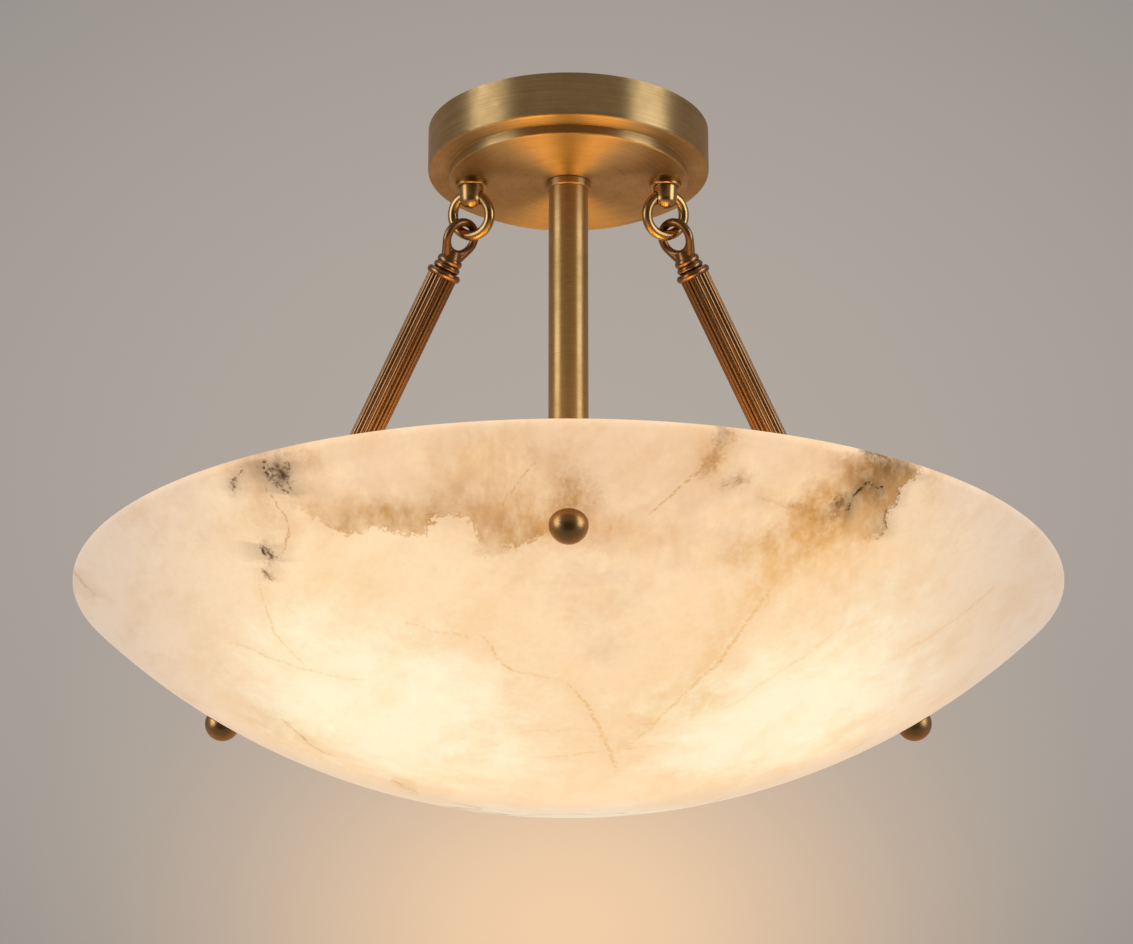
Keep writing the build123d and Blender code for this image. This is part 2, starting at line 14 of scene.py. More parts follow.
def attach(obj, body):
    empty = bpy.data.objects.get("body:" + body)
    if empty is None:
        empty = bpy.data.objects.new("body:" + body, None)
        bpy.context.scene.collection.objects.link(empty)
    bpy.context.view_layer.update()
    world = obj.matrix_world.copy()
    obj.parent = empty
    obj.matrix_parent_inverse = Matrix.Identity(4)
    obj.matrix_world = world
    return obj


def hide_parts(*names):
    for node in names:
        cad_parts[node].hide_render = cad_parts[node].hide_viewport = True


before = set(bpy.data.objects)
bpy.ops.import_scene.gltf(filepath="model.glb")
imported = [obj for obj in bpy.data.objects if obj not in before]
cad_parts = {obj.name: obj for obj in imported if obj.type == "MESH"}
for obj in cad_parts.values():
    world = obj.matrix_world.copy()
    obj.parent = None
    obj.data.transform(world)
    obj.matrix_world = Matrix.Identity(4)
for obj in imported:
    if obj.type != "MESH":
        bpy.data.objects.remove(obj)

LOG = logging.getLogger("ceiling_light")
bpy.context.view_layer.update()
MM = 0.001
FULL_TURN = 2 * math.pi
NOISE_MIDDLE = 0.5
BUMP_DEPTH = 0.0002
WELD = 1e-6
SAME_POINT = 1e-7
# The shader counts its rotation in whole turns, not in radians.
QUARTER_OF_TURN = 0.25
# A Mix node has sockets for each type of data, and these are the ones for colours.
MIX_FIRST, MIX_SECOND, MIX_RESULT = 6, 7, 2

# A Range is low and high, and a Ramp adds the results at both.
# A Grain is the scale, detail and roughness of a noise.
Colour = Tuple[float, float, float]
Place = Tuple[float, float, float]
Point = Tuple[float, float]
Range = Tuple[float, float]
Ramp = Tuple[float, float, float, float]
Grain = Tuple[float, float, float]
Names = Tuple[str, ...]
Socket = bpy.types.NodeSocket
Value = Union[float, int, Tuple[float, ...], Socket]


def srgb(red: float, green: float, blue: float) -> Colour:
    """Turns a screen colour of 0 to 255 into linear light.

    Args:
        red: Red as the screen shows it.
        green: Green as the screen shows it.
        blue: Blue as the screen shows it.

    Returns:
        The three linear values.
    """
    # The curve's numbers are those of the sRGB standard.
    parts = [channel / 255 for channel in (red, green, blue)]
    return tuple(c / 12.92 if c <= 0.04045 else ((c + 0.055) / 1.055) ** 2.4 for c in parts)


class Side(Enum):
    """The two sides that a rod hangs on."""

    LEFT = "left"
    RIGHT = "right"

    def mirrored(self, values: Place) -> Vector:
        """A place or direction of the right side, on this side."""
        sign = -1 if self is Side.LEFT else 1
        return Vector((sign * values[0], values[1], values[2]))


class LampPlace(Enum):
    """The three lamps round the stem."""

    FRONT_LEFT = "front_left"
    FRONT_RIGHT = "front_right"
    BACK = "back"


class Brushing(Enum):
    """How a metal was rubbed."""

    ROUND = "round"
    PLAIN = "plain"


class Stain(Enum):
    """Kinds of marking in the alabaster: three stains, and painted patches of lamp glow."""

    GREY = "grey"
    SMOKE = "smoke"
    AMBER = "amber"
    LIGHT = "light"


class Wires:
    """Adds nodes to one node tree and joins them."""

    def __init__(self, tree: bpy.types.NodeTree) -> None:
        """Keeps the tree that nodes go into."""
        self.tree = tree

    def node(self, kind: str, **settings: object) -> bpy.types.Node:
        """Adds a node.

        Args:
            kind: Blender's name for the node's type.
            settings: Properties of the node.

        Returns:
            The new node.
        """
        made = self.tree.nodes.new(kind)
        for key, value in settings.items():
            setattr(made, key, value)
        return made

    def feed(self, socket: Socket, value: Value) -> None:
        """Links a socket to another, or sets its value.

        Args:
            socket: The input to feed.
            value: A socket to link or a plain value. A colour gets its alpha here.
        """
        if isinstance(value, bpy.types.NodeSocket):
            self.tree.links.new(value, socket)
            return
        held = socket.default_value
        if hasattr(held, "__len__") and len(held) == len(value) + 1:
            value = (*value, 1.0)
        socket.default_value = value

    def put(self, node: bpy.types.Node, **values: Value) -> bpy.types.Node:
        """Feeds a node's inputs by name, with underscores for spaces.

        Args:
            node: The node.
            values: Values or sockets for its inputs.

        Returns:
            The node itself.
        """
        for key, value in values.items():
            self.feed(node.inputs[key.replace("_", " ")], value)
        return node

    def calc(self, operation: str, *values: Value, clamp: bool = False) -> Socket:
        """Adds a Math node.

        Args:
            operation: What it does.
            values: Its inputs in order.
            clamp: Whether the result is kept between 0 and 1.

        Returns:
            The result.
        """
        made = self.node("ShaderNodeMath", operation=operation, use_clamp=clamp)
        for socket, value in zip(made.inputs, values):
            self.feed(socket, value)
        return made.outputs[0]

    def vector(self, operation: str, *values: Value) -> Socket:
        """Adds a Vector Math node.

        Args:
            operation: What it does.
            values: Its inputs in order; a scale goes to the scale input.

        Returns:
            The vector, or the value for a dot product, length or distance.
        """
        made = self.node("ShaderNodeVectorMath", operation=operation)
        if operation == "SCALE":
            self.feed(made.inputs["Vector"], values[0])
            self.feed(made.inputs["Scale"], values[1])
        else:
            for socket, value in zip(made.inputs, values):
                self.feed(socket, value)
        single = operation in ("DOT_PRODUCT", "LENGTH", "DISTANCE")
        return made.outputs["Value" if single else "Vector"]

    def smooth(
        self, value: Value, low: float, high: float, to_low: float = 0, to_high: float = 1
    ) -> Socket:
        """Eases a value from one range to another.

        Args:
            value: The value to map.
            low: Where the change starts.
            high: Where it ends.
            to_low: Result at the start.
            to_high: Result at the end.

        Returns:
            The mapped value.
        """
        made = self.node("ShaderNodeMapRange", interpolation_type="SMOOTHSTEP")
        for socket, part in zip(made.inputs, (value, low, high, to_low, to_high)):
            self.feed(socket, part)
        return made.outputs[0]

    def noise(
        self, point: Value, scale: Value, detail: float, rough: float = 0.55, output: str = "Fac"
    ) -> Socket:
        """Adds a Noise Texture.

        Args:
            point: Where it is read.
            scale: Its scale.
            detail: Its detail.
            rough: Its roughness.
            output: Fac for a value or Color for three.

        Returns:
            The noise, from 0 to 1.
        """
        made = self.node("ShaderNodeTexNoise")
        self.put(made, Vector=point, Scale=scale, Detail=detail, Roughness=rough)
        return made.outputs[output]

    def mix(self, factor: Value, first: Value, second: Value, blend: str = "MIX") -> Socket:
        """Mixes two colours.

        Args:
            factor: How much of the second.
            first: The first colour.
            second: The second colour.
            blend: How they are mixed.

        Returns:
            The mixed colour.
        """
        made = self.node("ShaderNodeMix", data_type="RGBA", blend_type=blend)
        self.feed(made.inputs[0], factor)
        self.feed(made.inputs[MIX_FIRST], first)
        self.feed(made.inputs[MIX_SECOND], second)
        return made.outputs[MIX_RESULT]

    def xyz(self, vector: Value) -> List[Socket]:
        """Splits a vector into its three parts."""
        return list(self.put(self.node("ShaderNodeSeparateXYZ"), Vector=vector).outputs)

    def combine(self, x: Value, y: Value, z: Value) -> Socket:
        """Joins three values into a vector."""
        return self.put(self.node("ShaderNodeCombineXYZ"), X=x, Y=y, Z=z).outputs[0]

    def group(self, tree: bpy.types.NodeTree, **values: Value) -> bpy.types.Node:
        """Places a shared group.

        Args:
            tree: The group's tree.
            values: Its inputs by name.

        Returns:
            The group node.
        """
        return self.put(self.node("ShaderNodeGroup", node_tree=tree), **values)

    def geometry(self, kind: str, **values: Value) -> bpy.types.Node:
        """Adds a Geometry Nodes node and feeds its inputs."""
        return self.put(self.node("GeometryNode" + kind), **values)

    def times(self, first: Value, second: Value) -> Socket:
        """Multiplies two values."""
        return self.calc("MULTIPLY", first, second)

    def squared(self, value: Value, unit: Value) -> Socket:
        """Squares a value that is measured in a unit."""
        return self.calc("POWER", self.calc("DIVIDE", value, unit), 2.0)

    def bell(self, square: Value) -> Socket:
        """Falls from 1 to 0 as a squared distance grows."""
        return self.calc("EXPONENT", self.times(square, -1.0))

    def sway(self, value: Value, noise: Value, reach: float) -> Socket:
        """Moves a value up and down by a noise of 0 to 1."""
        centred = self.calc("SUBTRACT", noise, NOISE_MIDDLE)
        return self.calc("MULTIPLY_ADD", centred, reach, value)

    def bump(self, height: Value, strength: float, depth: float = BUMP_DEPTH) -> Socket:
        """Turns a height into a normal."""
        made = self.node("ShaderNodeBump")
        return self.put(made, Strength=strength, Distance=depth, Height=height).outputs[0]

    def place(self) -> Socket:
        """Place on the piece in metres."""
        return self.node("ShaderNodeTexCoord").outputs["Object"]


def floats(*names: str) -> Dict[str, str]:
    """Says that each of these sockets is a number."""
    return dict.fromkeys(names, "Float")


class SharedGroup:
    """A node group with named inputs and outputs."""

    def __init__(
        self, name: str, inputs: Dict[str, str], outputs: Dict[str, str], kind: str = "Shader"
    ) -> None:
        """Makes the empty group.

        Args:
            name: The group's name.
            inputs: Socket type of each input, by name.
            outputs: Socket type of each output, by name.
            kind: Shader or Geometry.
        """
        self.tree = bpy.data.node_groups.new(name, kind + "NodeTree")
        new_socket = self.tree.interface.new_socket
        for in_out, sockets in (("INPUT", inputs), ("OUTPUT", outputs)):
            for label, socket in sockets.items():
                new_socket(name=label, in_out=in_out, socket_type="NodeSocket" + socket)
        self.wires = Wires(self.tree)
        self.given = self.wires.node("NodeGroupInput").outputs
        self.result = self.wires.node("NodeGroupOutput").inputs

    def close(self, **values: Socket) -> bpy.types.NodeTree:
        """Joins the group's outputs.

        Args:
            values: The socket for each output, by name.

        Returns:
            The finished tree.
        """
        for key, value in values.items():
            self.wires.feed(self.result[key], value)
        return self.tree


def turning_lines_group() -> bpy.types.NodeTree:
    """Fine lines that run round the Z axis, as rubbing on a lathe leaves them.

    Returns:
        The group, with Lines from 0 to 1.
    """
    inputs = {"Point": "Vector", **floats("Fineness")}
    shared = SharedGroup("turning_lines", inputs, floats("Lines"))
    wires, given = shared.wires, shared.given
    around, detail = 2.0, 3.0
    x, y, z = wires.xyz(given["Point"])
    flat = wires.combine(x, y, 0.0)
    east, north, _ = wires.xyz(wires.vector("NORMALIZE", flat))
    reach = wires.times(wires.vector("LENGTH", flat), given["Fineness"])
    rise = wires.times(z, given["Fineness"])
    place = wires.combine(reach, rise, wires.times(east, around))
    texture = wires.node("ShaderNodeTexNoise", noise_dimensions="4D")
    wires.put(texture, Vector=place, W=wires.times(north, around), Scale=1.0, Detail=detail)
    return shared.close(Lines=texture.outputs[0])


def tarnish_group() -> bpy.types.NodeTree:
    """Clouds of older, darker metal between rubbed places.

    Returns:
        The group, with the mixed Colour and the Cloud mask.
    """
    inputs = {"Point": "Vector", "Bright": "Color", "Dark": "Color", **floats("Scale", "Amount")}
    shared = SharedGroup("tarnish", inputs, {"Colour": "Color", "Cloud": "Float"})
    wires, given = shared.wires, shared.given
    broad_detail, fine_detail, rough = 4.0, 3.0, 0.6
    finer, share, edges = 9.0, 0.7, (0.36, 0.64)
    broad = wires.noise(given["Point"], given["Scale"], broad_detail, rough)
    fine_scale = wires.times(given["Scale"], finer)
    fine = wires.noise(given["Point"], fine_scale, fine_detail, rough)
    both = wires.calc("ADD", wires.times(broad, share), wires.times(fine, 1.0 - share))
    cloud = wires.smooth(both, *edges)
    amount = wires.times(cloud, given["Amount"])
    return shared.close(Colour=wires.mix(amount, given["Bright"], given["Dark"]), Cloud=cloud)


def ends_mask(wires: Wires, along: Value, fade: float) -> Socket:
    """Fades a marking at the two ends of its line.

    Args:
        wires: The group's wires.
        along: Place along the line from 0 to 1.
        fade: Share of the line that each end fades over.

    Returns:
        The mask.
    """
    start = wires.smooth(along, 0.0, fade)
    return wires.times(start, wires.smooth(along, 1.0 - fade, 1.0, 1.0, 0.0))


def vein_group() -> bpy.types.NodeTree:
    """A thin broken line with a soft halo.

    Returns:
        The group, with its Mask.
    """
    inputs = floats("Offset", "Along", "Width", "Halo", "Fray")
    shared = SharedGroup("vein", inputs, floats("Mask"))
    wires, given = shared.wires, shared.given
    halo_width, end_fade = 5.0, 0.15
    core_fall, gaps = (0.2, 1.0, 1.0, 0.0), (0.36, 0.6, 0.2, 1.0)
    near = wires.calc("DIVIDE", wires.calc("ABSOLUTE", given["Offset"]), given["Width"])
    core = wires.smooth(near, *core_fall)
    broken = wires.times(core, wires.smooth(given["Fray"], *gaps))
    halo = wires.times(wires.bell(wires.squared(near, halo_width)), given["Halo"])
    mask = wires.calc("MAXIMUM", broken, halo)
    return shared.close(Mask=wires.times(mask, ends_mask(wires, given["Along"], end_fade)))


def flake_group() -> bpy.types.NodeTree:
    """Flakes strung along a line, with torn edges and holes.

    Returns:
        The group, with its Mask.
    """
    shared = SharedGroup("flake", floats("Offset", "Along", "Width", "Fray"), floats("Mask"))
    wires, given = shared.wires, shared.given
    end_fade, end_cut, tear, edges = 0.3, -3.0, 3.4, (-0.3, 1.5)
    near = wires.calc("DIVIDE", wires.calc("ABSOLUTE", given["Offset"]), given["Width"])
    ends = wires.smooth(ends_mask(wires, given["Along"], end_fade), 0.0, 1.0, end_cut, 0.0)
    body = wires.calc("ADD", wires.calc("SUBTRACT", 1.0, near), ends)
    torn = wires.sway(body, given["Fray"], tear)
    return shared.close(Mask=wires.smooth(torn, *edges))


def smudge_group() -> bpy.types.NodeTree:
    """A soft oval cloud.

    Returns:
        The group, with its Mask.
    """
    inputs = dict.fromkeys(("Place", "Centre", "Turn", "Size"), "Vector")
    shared = SharedGroup("smudge", inputs, floats("Mask"))
    wires, given = shared.wires, shared.given
    oval = wires.node("ShaderNodeMapping", vector_type="TEXTURE")
    wires.put(oval, Vector=given["Place"], Location=given["Centre"])
    wires.put(oval, Rotation=given["Turn"], Scale=given["Size"])
    reach = wires.vector("DOT_PRODUCT", oval.outputs[0], oval.outputs[0])
    return shared.close(Mask=wires.bell(reach))


def feather_group() -> bpy.types.NodeTree:
    """One side of a line: a crisp edge at the line and a fade away from it.

    Returns:
        The group, with the masks Inside and Fade.
    """
    inputs = floats("Offset", "Along", "Edge", "Fade")
    shared = SharedGroup("feather", inputs, floats("Inside", "Fade"))
    wires, given = shared.wires, shared.given
    fall, hem_share, hem_fall, end_fade = 1.6, 0.5, -14.0, 0.1
    crisp = wires.calc("DIVIDE", given["Offset"], given["Edge"], clamp=True)
    away = wires.calc("DIVIDE", given["Offset"], given["Fade"], clamp=True)
    left = wires.calc("POWER", wires.calc("SUBTRACT", 1.0, away), fall)
    hem = wires.calc("EXPONENT", wires.times(away, hem_fall))
    left = wires.calc("MULTIPLY_ADD", hem, hem_share, left)
    inside = wires.times(crisp, ends_mask(wires, given["Along"], end_fade))
    return shared.close(Inside=inside, Fade=left)


class Groups:
    """The shader groups that the finishes share."""

    turning_lines = turning_lines_group()
    tarnish = tarnish_group()
    vein = vein_group()
    flake = flake_group()
    smudge = smudge_group()
    feather = feather_group()


def new_material(name: str) -> Tuple[bpy.types.Material, Wires, bpy.types.Node]:
    """Starts a material with one Principled shader.

    Args:
        name: The material's name.

    Returns:
        The material, its wires and the shader node.
    """
    material = bpy.data.materials.new(name)
    material.use_nodes = True
    material.node_tree.nodes.clear()
    wires = Wires(material.node_tree)
    shader = wires.node("ShaderNodeBsdfPrincipled")
    output = wires.node("ShaderNodeOutputMaterial")
    wires.feed(output.inputs["Surface"], shader.outputs[0])
    return material, wires, shader


@dataclass(frozen=True)
class Finish:
    """What every finish has: a name and a way to make its material."""

    name: str

    def make(self) -> bpy.types.Material:
        """Builds the material, as each kind of finish does in its own way."""
        raise NotImplementedError(self.name)


@dataclass(frozen=True)
class MetalFinish(Finish):
    """A rubbed metal with older, darker clouds, and painted shade in the valleys of reeded pieces.
    """

    bright: Colour
    dark: Colour
    roughness: float
    amount: float = 0.6
    scale: float = 30.0
    brushing: Brushing = Brushing.PLAIN
    anisotropy: float = 0.0
    grain: float = 0.04
    metallic: float = 1.0
    fineness: float = 2600.0
    coarser: float = 3.0
    plain_detail: float = 2.0
    cloud_rough: float = 0.1
    # Painted shade colour in the valleys between reeds, strongest at the bottom of each valley.
    groove: Colour = (0.05, 0.025, 0.012)
    groove_shade_ramp: Ramp = (0.35, 1.0, 0.0, 0.85)
    line_contrast: Range = (0.3, 0.7)

    def make(self) -> bpy.types.Material:
        """Builds the material.

        Returns:
            The material.
        """
        material, wires, shader = new_material(self.name)
        point = wires.place()
        tarnish = wires.group(Groups.tarnish, Point=point, Scale=self.scale, Amount=self.amount)
        wires.put(tarnish, Bright=self.bright, Dark=self.dark)
        # Painted shade: darker towards the bottom of each reed valley, read from the piece's groove
        # attribute.
        valley_depth = wires.node("ShaderNodeAttribute", attribute_name="groove").outputs["Fac"]
        valley_shade = wires.smooth(valley_depth, *self.groove_shade_ramp)
        colour = wires.mix(valley_shade, tarnish.outputs["Colour"], self.groove)
        if self.brushing is Brushing.ROUND:
            turned = wires.group(Groups.turning_lines, Point=point, Fineness=self.fineness)
            lines = turned.outputs[0]
            tangent = wires.node("ShaderNodeTangent", direction_type="RADIAL", axis="Z")
            wires.feed(shader.inputs["Tangent"], tangent.outputs[0])
            wires.put(shader, Anisotropic=self.anisotropy, Anisotropic_Rotation=QUARTER_OF_TURN)
        else:
            lines = wires.noise(point, self.fineness / self.coarser, self.plain_detail)
        shade = wires.smooth(lines, *self.line_contrast, 1.0 - self.grain, 1.0 + self.grain)
        smoothest = self.roughness - self.cloud_rough / 2
        rough = wires.calc("MULTIPLY_ADD", tarnish.outputs["Cloud"], self.cloud_rough, smoothest)
        wires.put(
            shader,
            Base_Color=wires.vector("SCALE", colour, shade),
            Roughness=wires.sway(rough, lines, self.grain),
            Metallic=self.metallic,
            Normal=wires.bump(lines, self.grain),
        )
        return material


@dataclass(frozen=True)
class PlainFinish(Finish):
    """A dull material with a fine grain, such as porcelain or a washer."""

    light: Colour
    shade: Colour
    roughness: float
    coat: float = 0.0
    coat_roughness: float = 0.12
    grain: float = 220.0
    amount: float = 0.8
    cloud_size: float = 4.0
    speck_fineness: float = 8.0
    speck_detail: float = 2.0
    speck_rough: float = 0.12
    speck_height: float = 0.1

    def make(self) -> bpy.types.Material:
        """Builds the material.

        Returns:
            The material.
        """
        material, wires, shader = new_material(self.name)
        point = wires.place()
        mixed = wires.group(Groups.tarnish, Point=point, Bright=self.light, Dark=self.shade)
        wires.put(mixed, Scale=self.grain / self.cloud_size, Amount=self.amount)
        speck = wires.noise(point, self.grain * self.speck_fineness, self.speck_detail)
        wires.put(
            shader,
            Base_Color=mixed.outputs["Colour"],
            Roughness=wires.sway(self.roughness, speck, self.speck_rough),
            Normal=wires.bump(speck, self.speck_height),
            Coat_Weight=self.coat,
            Coat_Roughness=self.coat_roughness,
        )
        return material


@dataclass(frozen=True)
class FrostedGlobe(Finish):
    """Etched lamp glass, lit from inside and dimmer towards its neck."""

    name: str = "frosted_globe"
    glass: Colour = (0.9, 0.86, 0.8)
    lit: Colour = (1.0, 0.66, 0.34)
    neck: Colour = (0.6, 0.3, 0.12)
    neck_end: Range = (0.066, 0.092)
    strength: float = 0.85
    etch: Grain = (900.0, 3.0, 0.55)
    etch_shade: Ramp = (0.2, 0.8, 0.94, 1.04)
    etch_rough: Ramp = (0.2, 0.8, 0.42, 0.6)
    etch_height: float = 0.08

    def make(self) -> bpy.types.Material:
        """Builds the material.

        Returns:
            The material.
        """
        material, wires, shader = new_material(self.name)
        point = wires.place()
        x, y, _ = wires.xyz(point)
        reach = wires.vector("LENGTH", wires.combine(x, y, 0.0))
        colour = wires.mix(wires.smooth(reach, *self.neck_end), self.neck, self.lit)
        etch = wires.noise(point, *self.etch)
        wires.put(
            shader,
            Base_Color=self.glass,
            Roughness=wires.smooth(etch, *self.etch_rough),
            Emission_Color=wires.vector("SCALE", colour, wires.smooth(etch, *self.etch_shade)),
            Emission_Strength=self.strength,
            Normal=wires.bump(etch, self.etch_height),
        )
        return material


@dataclass(frozen=True)
class Vein:
    """One line in the stone, drawn on the front view in millimetres."""

    stain: Stain
    points: Tuple[Point, ...]
    width: float
    strength: float
    upright: bool = True
    halo: float = 0.3


@dataclass(frozen=True)
class Flakes:
    """Dark flakes strung along a line."""

    points: Tuple[Point, ...]
    width: float
    strength: float
    upright: bool = True


@dataclass(frozen=True)
class Smudge:
    """A soft oval cloud: its place across and up, its width and height, and its turn in degrees."""

    u: float
    v: float
    wide: float
    high: float
    turn: float
    strength: float


@dataclass(frozen=True)
class Patch:
    """A stain that stops at a torn line, fades to one side of it and holds darker clouds."""

    stain: Stain
    points: Tuple[Point, ...]
    edge: float
    fade: float
    strength: float
    upright: bool
    flip: int
    smudges: Tuple[Smudge, ...] = ()


def smudges(*rows: Sequence[float]) -> Tuple[Smudge, ...]:
    """Makes clouds from rows of their numbers."""
    return tuple(Smudge(*row) for row in rows)


# The markings below are drawn on the front view, in millimetres.
CLOUDS = (
    (Stain.SMOKE, smudges(
        (109.7, -184.5, 20, 6.5, 38, 0.45),
        # Painted shadow above the front dome nut, not a stain.
        (1.1, -172, 7.5, 9, 0, 0.75),
        (62, -154.5, 13, 3.4, 52, 0.85),
        (70.6, -167.5, 7, 2.6, 20, 0.6),
        (95.2, -178.9, 12, 3, -20, 0.45),
        (-130, -178, 7, 22, 15, 0.5),
        (-110.2, -159.6, 9, 5, 0, 0.5),
        (-11.7, -157.5, 24, 8, 0, 0.35),
        (109, -172.5, 12, 6.5, 35, 0.4),
        (86, -191.5, 15, 5, 42, 0.32),
        (154, -168, 5, 10, -20, 0.3),
        # Painted shadow over the front dome nut, not a stain.
        (1, -176, 13, 9, 0, 0.45),
        (-32, -196, 7, 3, 10, 0.6),
        (-130, -155, 16, 6, 20, 0.4),
        (50, -176, 20, 9, 25, 0.22),
        (-140, -277, 20, 11, -38, 0.28),
        (-100, -296, 24, 7, -22, 0.18),
        (123, -219, 20, 11, 20, 0.18),
        (75, -200, 13, 10, 20, 0.16),
    )),
    (Stain.GREY, smudges(
        (-122.5, -163.5, 5, 7.5, 28, 1),
        (-127.5, -199, 3, 5.5, 20, 0.6),
        (-141, -170, 2.4, 5, 0, 0.35),
        (115, -177.2, 8.5, 2.8, 34, 0.75),
        (128.5, -165, 10, 6, 15, 0.5),
        (136.5, -160.8, 7, 4, -15, 0.35),
        (64, -146, 2.6, 5, -14, 0.4),
        (71, -167, 5, 2, 20, 0.25),
    )),
    (Stain.AMBER, smudges(
        (84.8, -209.7, 24, 9, 50, 0.65),
        (80, -195.5, 20, 8, 18, 0.45),
        (-9.8, -186, 10, 7, 0, 0.5),
        (12.5, -186.5, 10, 7, 0, 0.6),
        (34, -192, 28, 9, -6, 0.4),
        (118, -196, 22, 15, 40, 0.6),
        (108, -178, 22, 11, 38, 0.75),
        (58, -155, 13, 12, 40, 0.5),
        (-25, -182, 22, 12, 0, 0.55),
        (57, -265, 15, 7, 35, 0.55),
        (-36, -160, 22, 11, 0, 0.4),
    )),
    # Painted bright patches of the lamps' glow, not a stain.
    (Stain.LIGHT, smudges(
        (-52.9, -207.3, 9, 20, 0, 0.5),
        (-58.8, -242.6, 24, 13, 0, 0.35),
        (76.5, -243, 8, 20, -40, 0.5),
        (-74.8, -277.4, 30, 11, -14, 0.5),
        (89, -283, 26, 9, 20, 0.45),
        (122, -272, 22, 9, 28, 0.4),
        (14, -201, 16, 9, 0, 0.3),
    )),
)
FLAKES = (
    Flakes(((-128.5, -157.5), (-125.5, -165), (-117, -173.5)), 5.2, 1),
    Flakes(((-121, -157), (-118.5, -167)), 3.8, 0.9),
    Flakes(((-139, -164), (-141.2, -170), (-140.2, -173)), 2, 0.9),
    Flakes(((-130, -194), (-125, -203)), 4, 1),
    Flakes(((-130.5, -204), (-127, -211.5)), 2.4, 0.6),
    Flakes(
        ((114, -179.8), (119.7, -175.2), (127.2, -168.5), (135, -168.5)),
        2.8, 0.9, upright=False,
    ),
    Flakes(((120.1, -153.8), (132, -156.5), (140.5, -161.8)), 4, 0.85, upright=False),
    Flakes(((64.8, -141), (61.5, -153.7)), 2, 0.4),
)
AMBER_SEAM = (
    (95.6, -199.4), (78.5, -223.6), (68.4, -241.4), (54.2, -256.3), (45.7, -265.6), (20.8, -291.4),
)
VEINS = (
    Vein(
        Stain.GREY,
        ((-128.6, -157.5), (-129.2, -162.9), (-125.7, -166.3), (-120.6, -170.5), (-116.5, -174.7)),
        1.4, 1, halo=0.45,
    ),
    Vein(
        Stain.GREY,
        ((-121.8, -157.9), (-118.9, -160.5), (-120, -164.6), (-118, -168.8), (-116, -172.6)),
        1.2, 0.85, halo=0.4,
    ),
    Vein(
        Stain.GREY,
        ((-137.7, -161.2), (-140.8, -168.4), (-141.6, -171), (-140.1, -173.5)),
        0.9, 0.75,
    ),
    Vein(
        Stain.SMOKE,
        ((-130.9, -166.3), (-121.9, -179), (-119.5, -181.5), (-118.4, -186.7), (-120.8, -197.9),
         (-122.4, -201.4)),
        0.9, 0.8,
    ),
    Vein(
        Stain.GREY,
        ((-130.3, -193.6), (-129.8, -198.8), (-126.8, -201.4), (-124.6, -202.6)),
        1.6, 1,
    ),
    Vein(Stain.SMOKE, ((-131.4, -203.7), (-129, -207.6), (-127, -211.5)), 1.1, 0.9),
    Vein(
        Stain.GREY,
        ((120.4, -153.3), (130.1, -155.8), (137.2, -158.7), (140.5, -162)),
        1.5, 0.6, upright=False,
    ),
    Vein(
        Stain.GREY,
        ((114.2, -180.2), (118.1, -178.1), (123, -171.4), (127.2, -168), (131.6, -169.7),
         (135.5, -168.2)),
        1.2, 1, upright=False, halo=0.5,
    ),
    Vein(
        Stain.GREY,
        ((149, -162.9), (147.8, -165.9), (142.2, -168.4), (138.8, -170.5), (139.8, -174),
         (138.3, -178.2), (134.5, -180), (134, -187.6), (127.7, -193.6)),
        0.8, 0.7,
    ),
    Vein(Stain.GREY, ((61.9, -170.2), (75.4, -166)), 1, 0.3, upright=False),
    Vein(Stain.SMOKE, ((69, -146.7), (60.6, -156), (46.2, -170.3), (29.9, -183.8)), 1.2, 0.7),
    Vein(
        Stain.SMOKE,
        ((-9.7, -155.5), (-20.1, -167.1), (-25.5, -174.2), (-29.5, -184.8)),
        1.2, 0.6,
    ),
    Vein(Stain.SMOKE, ((76, -173.5), (97.2, -181.6)), 1.2, 0.5, upright=False),
    Vein(
        Stain.AMBER,
        ((-46, -228.5), (-38, -233), (-23.9, -249.1), (-0.6, -255.5), (10.8, -271.5),
         (22.4, -303.6)),
        1.3, 0.75,
    ),
    Vein(Stain.AMBER, AMBER_SEAM, 1.5, 0.8),
    Vein(
        Stain.AMBER,
        ((-156.1, -236.2), (-135, -243.4), (-106.8, -252.4), (-84.1, -254.4)),
        1, 0.6, upright=False,
    ),
    Vein(
        Stain.AMBER,
        ((-134.4, -207.5), (-130.7, -223.6), (-126, -237.2), (-106.8, -253.4)),
        1, 0.6,
    ),
    Vein(Stain.AMBER, ((-72.9, -228.4), (-59.2, -231.2), (-37.8, -235.7)), 1, 0.5, upright=False),
    Vein(
        Stain.SMOKE,
        ((-131.3, -274.1), (-122.2, -283.5), (-112.9, -292.1), (-100.3, -296.7)),
        0.9, 0.8,
    ),
    Vein(Stain.SMOKE, ((-82.3, -305.2), (-68.9, -312.8)), 0.9, 0.7, upright=False),
    Vein(Stain.SMOKE, ((-225.5, -207.2), (-217.7, -218.4), (-208, -222.8)), 1, 0.6),
    Vein(Stain.AMBER, ((-14.7, -292.3), (14, -288.2), (51.6, -282.7)), 0.9, 0.45, upright=False),
    Vein(Stain.AMBER, ((-27.8, -280.4), (-3.7, -276.3), (19.4, -283.2)), 0.9, 0.4, upright=False),
    Vein(Stain.AMBER, ((122.1, -226.9), (100.9, -245.7), (56, -274)), 1.1, 0.4),
    Vein(Stain.AMBER, ((193.3, -209.6), (164.8, -233.8), (134, -251.3)), 1.1, 0.45),
)
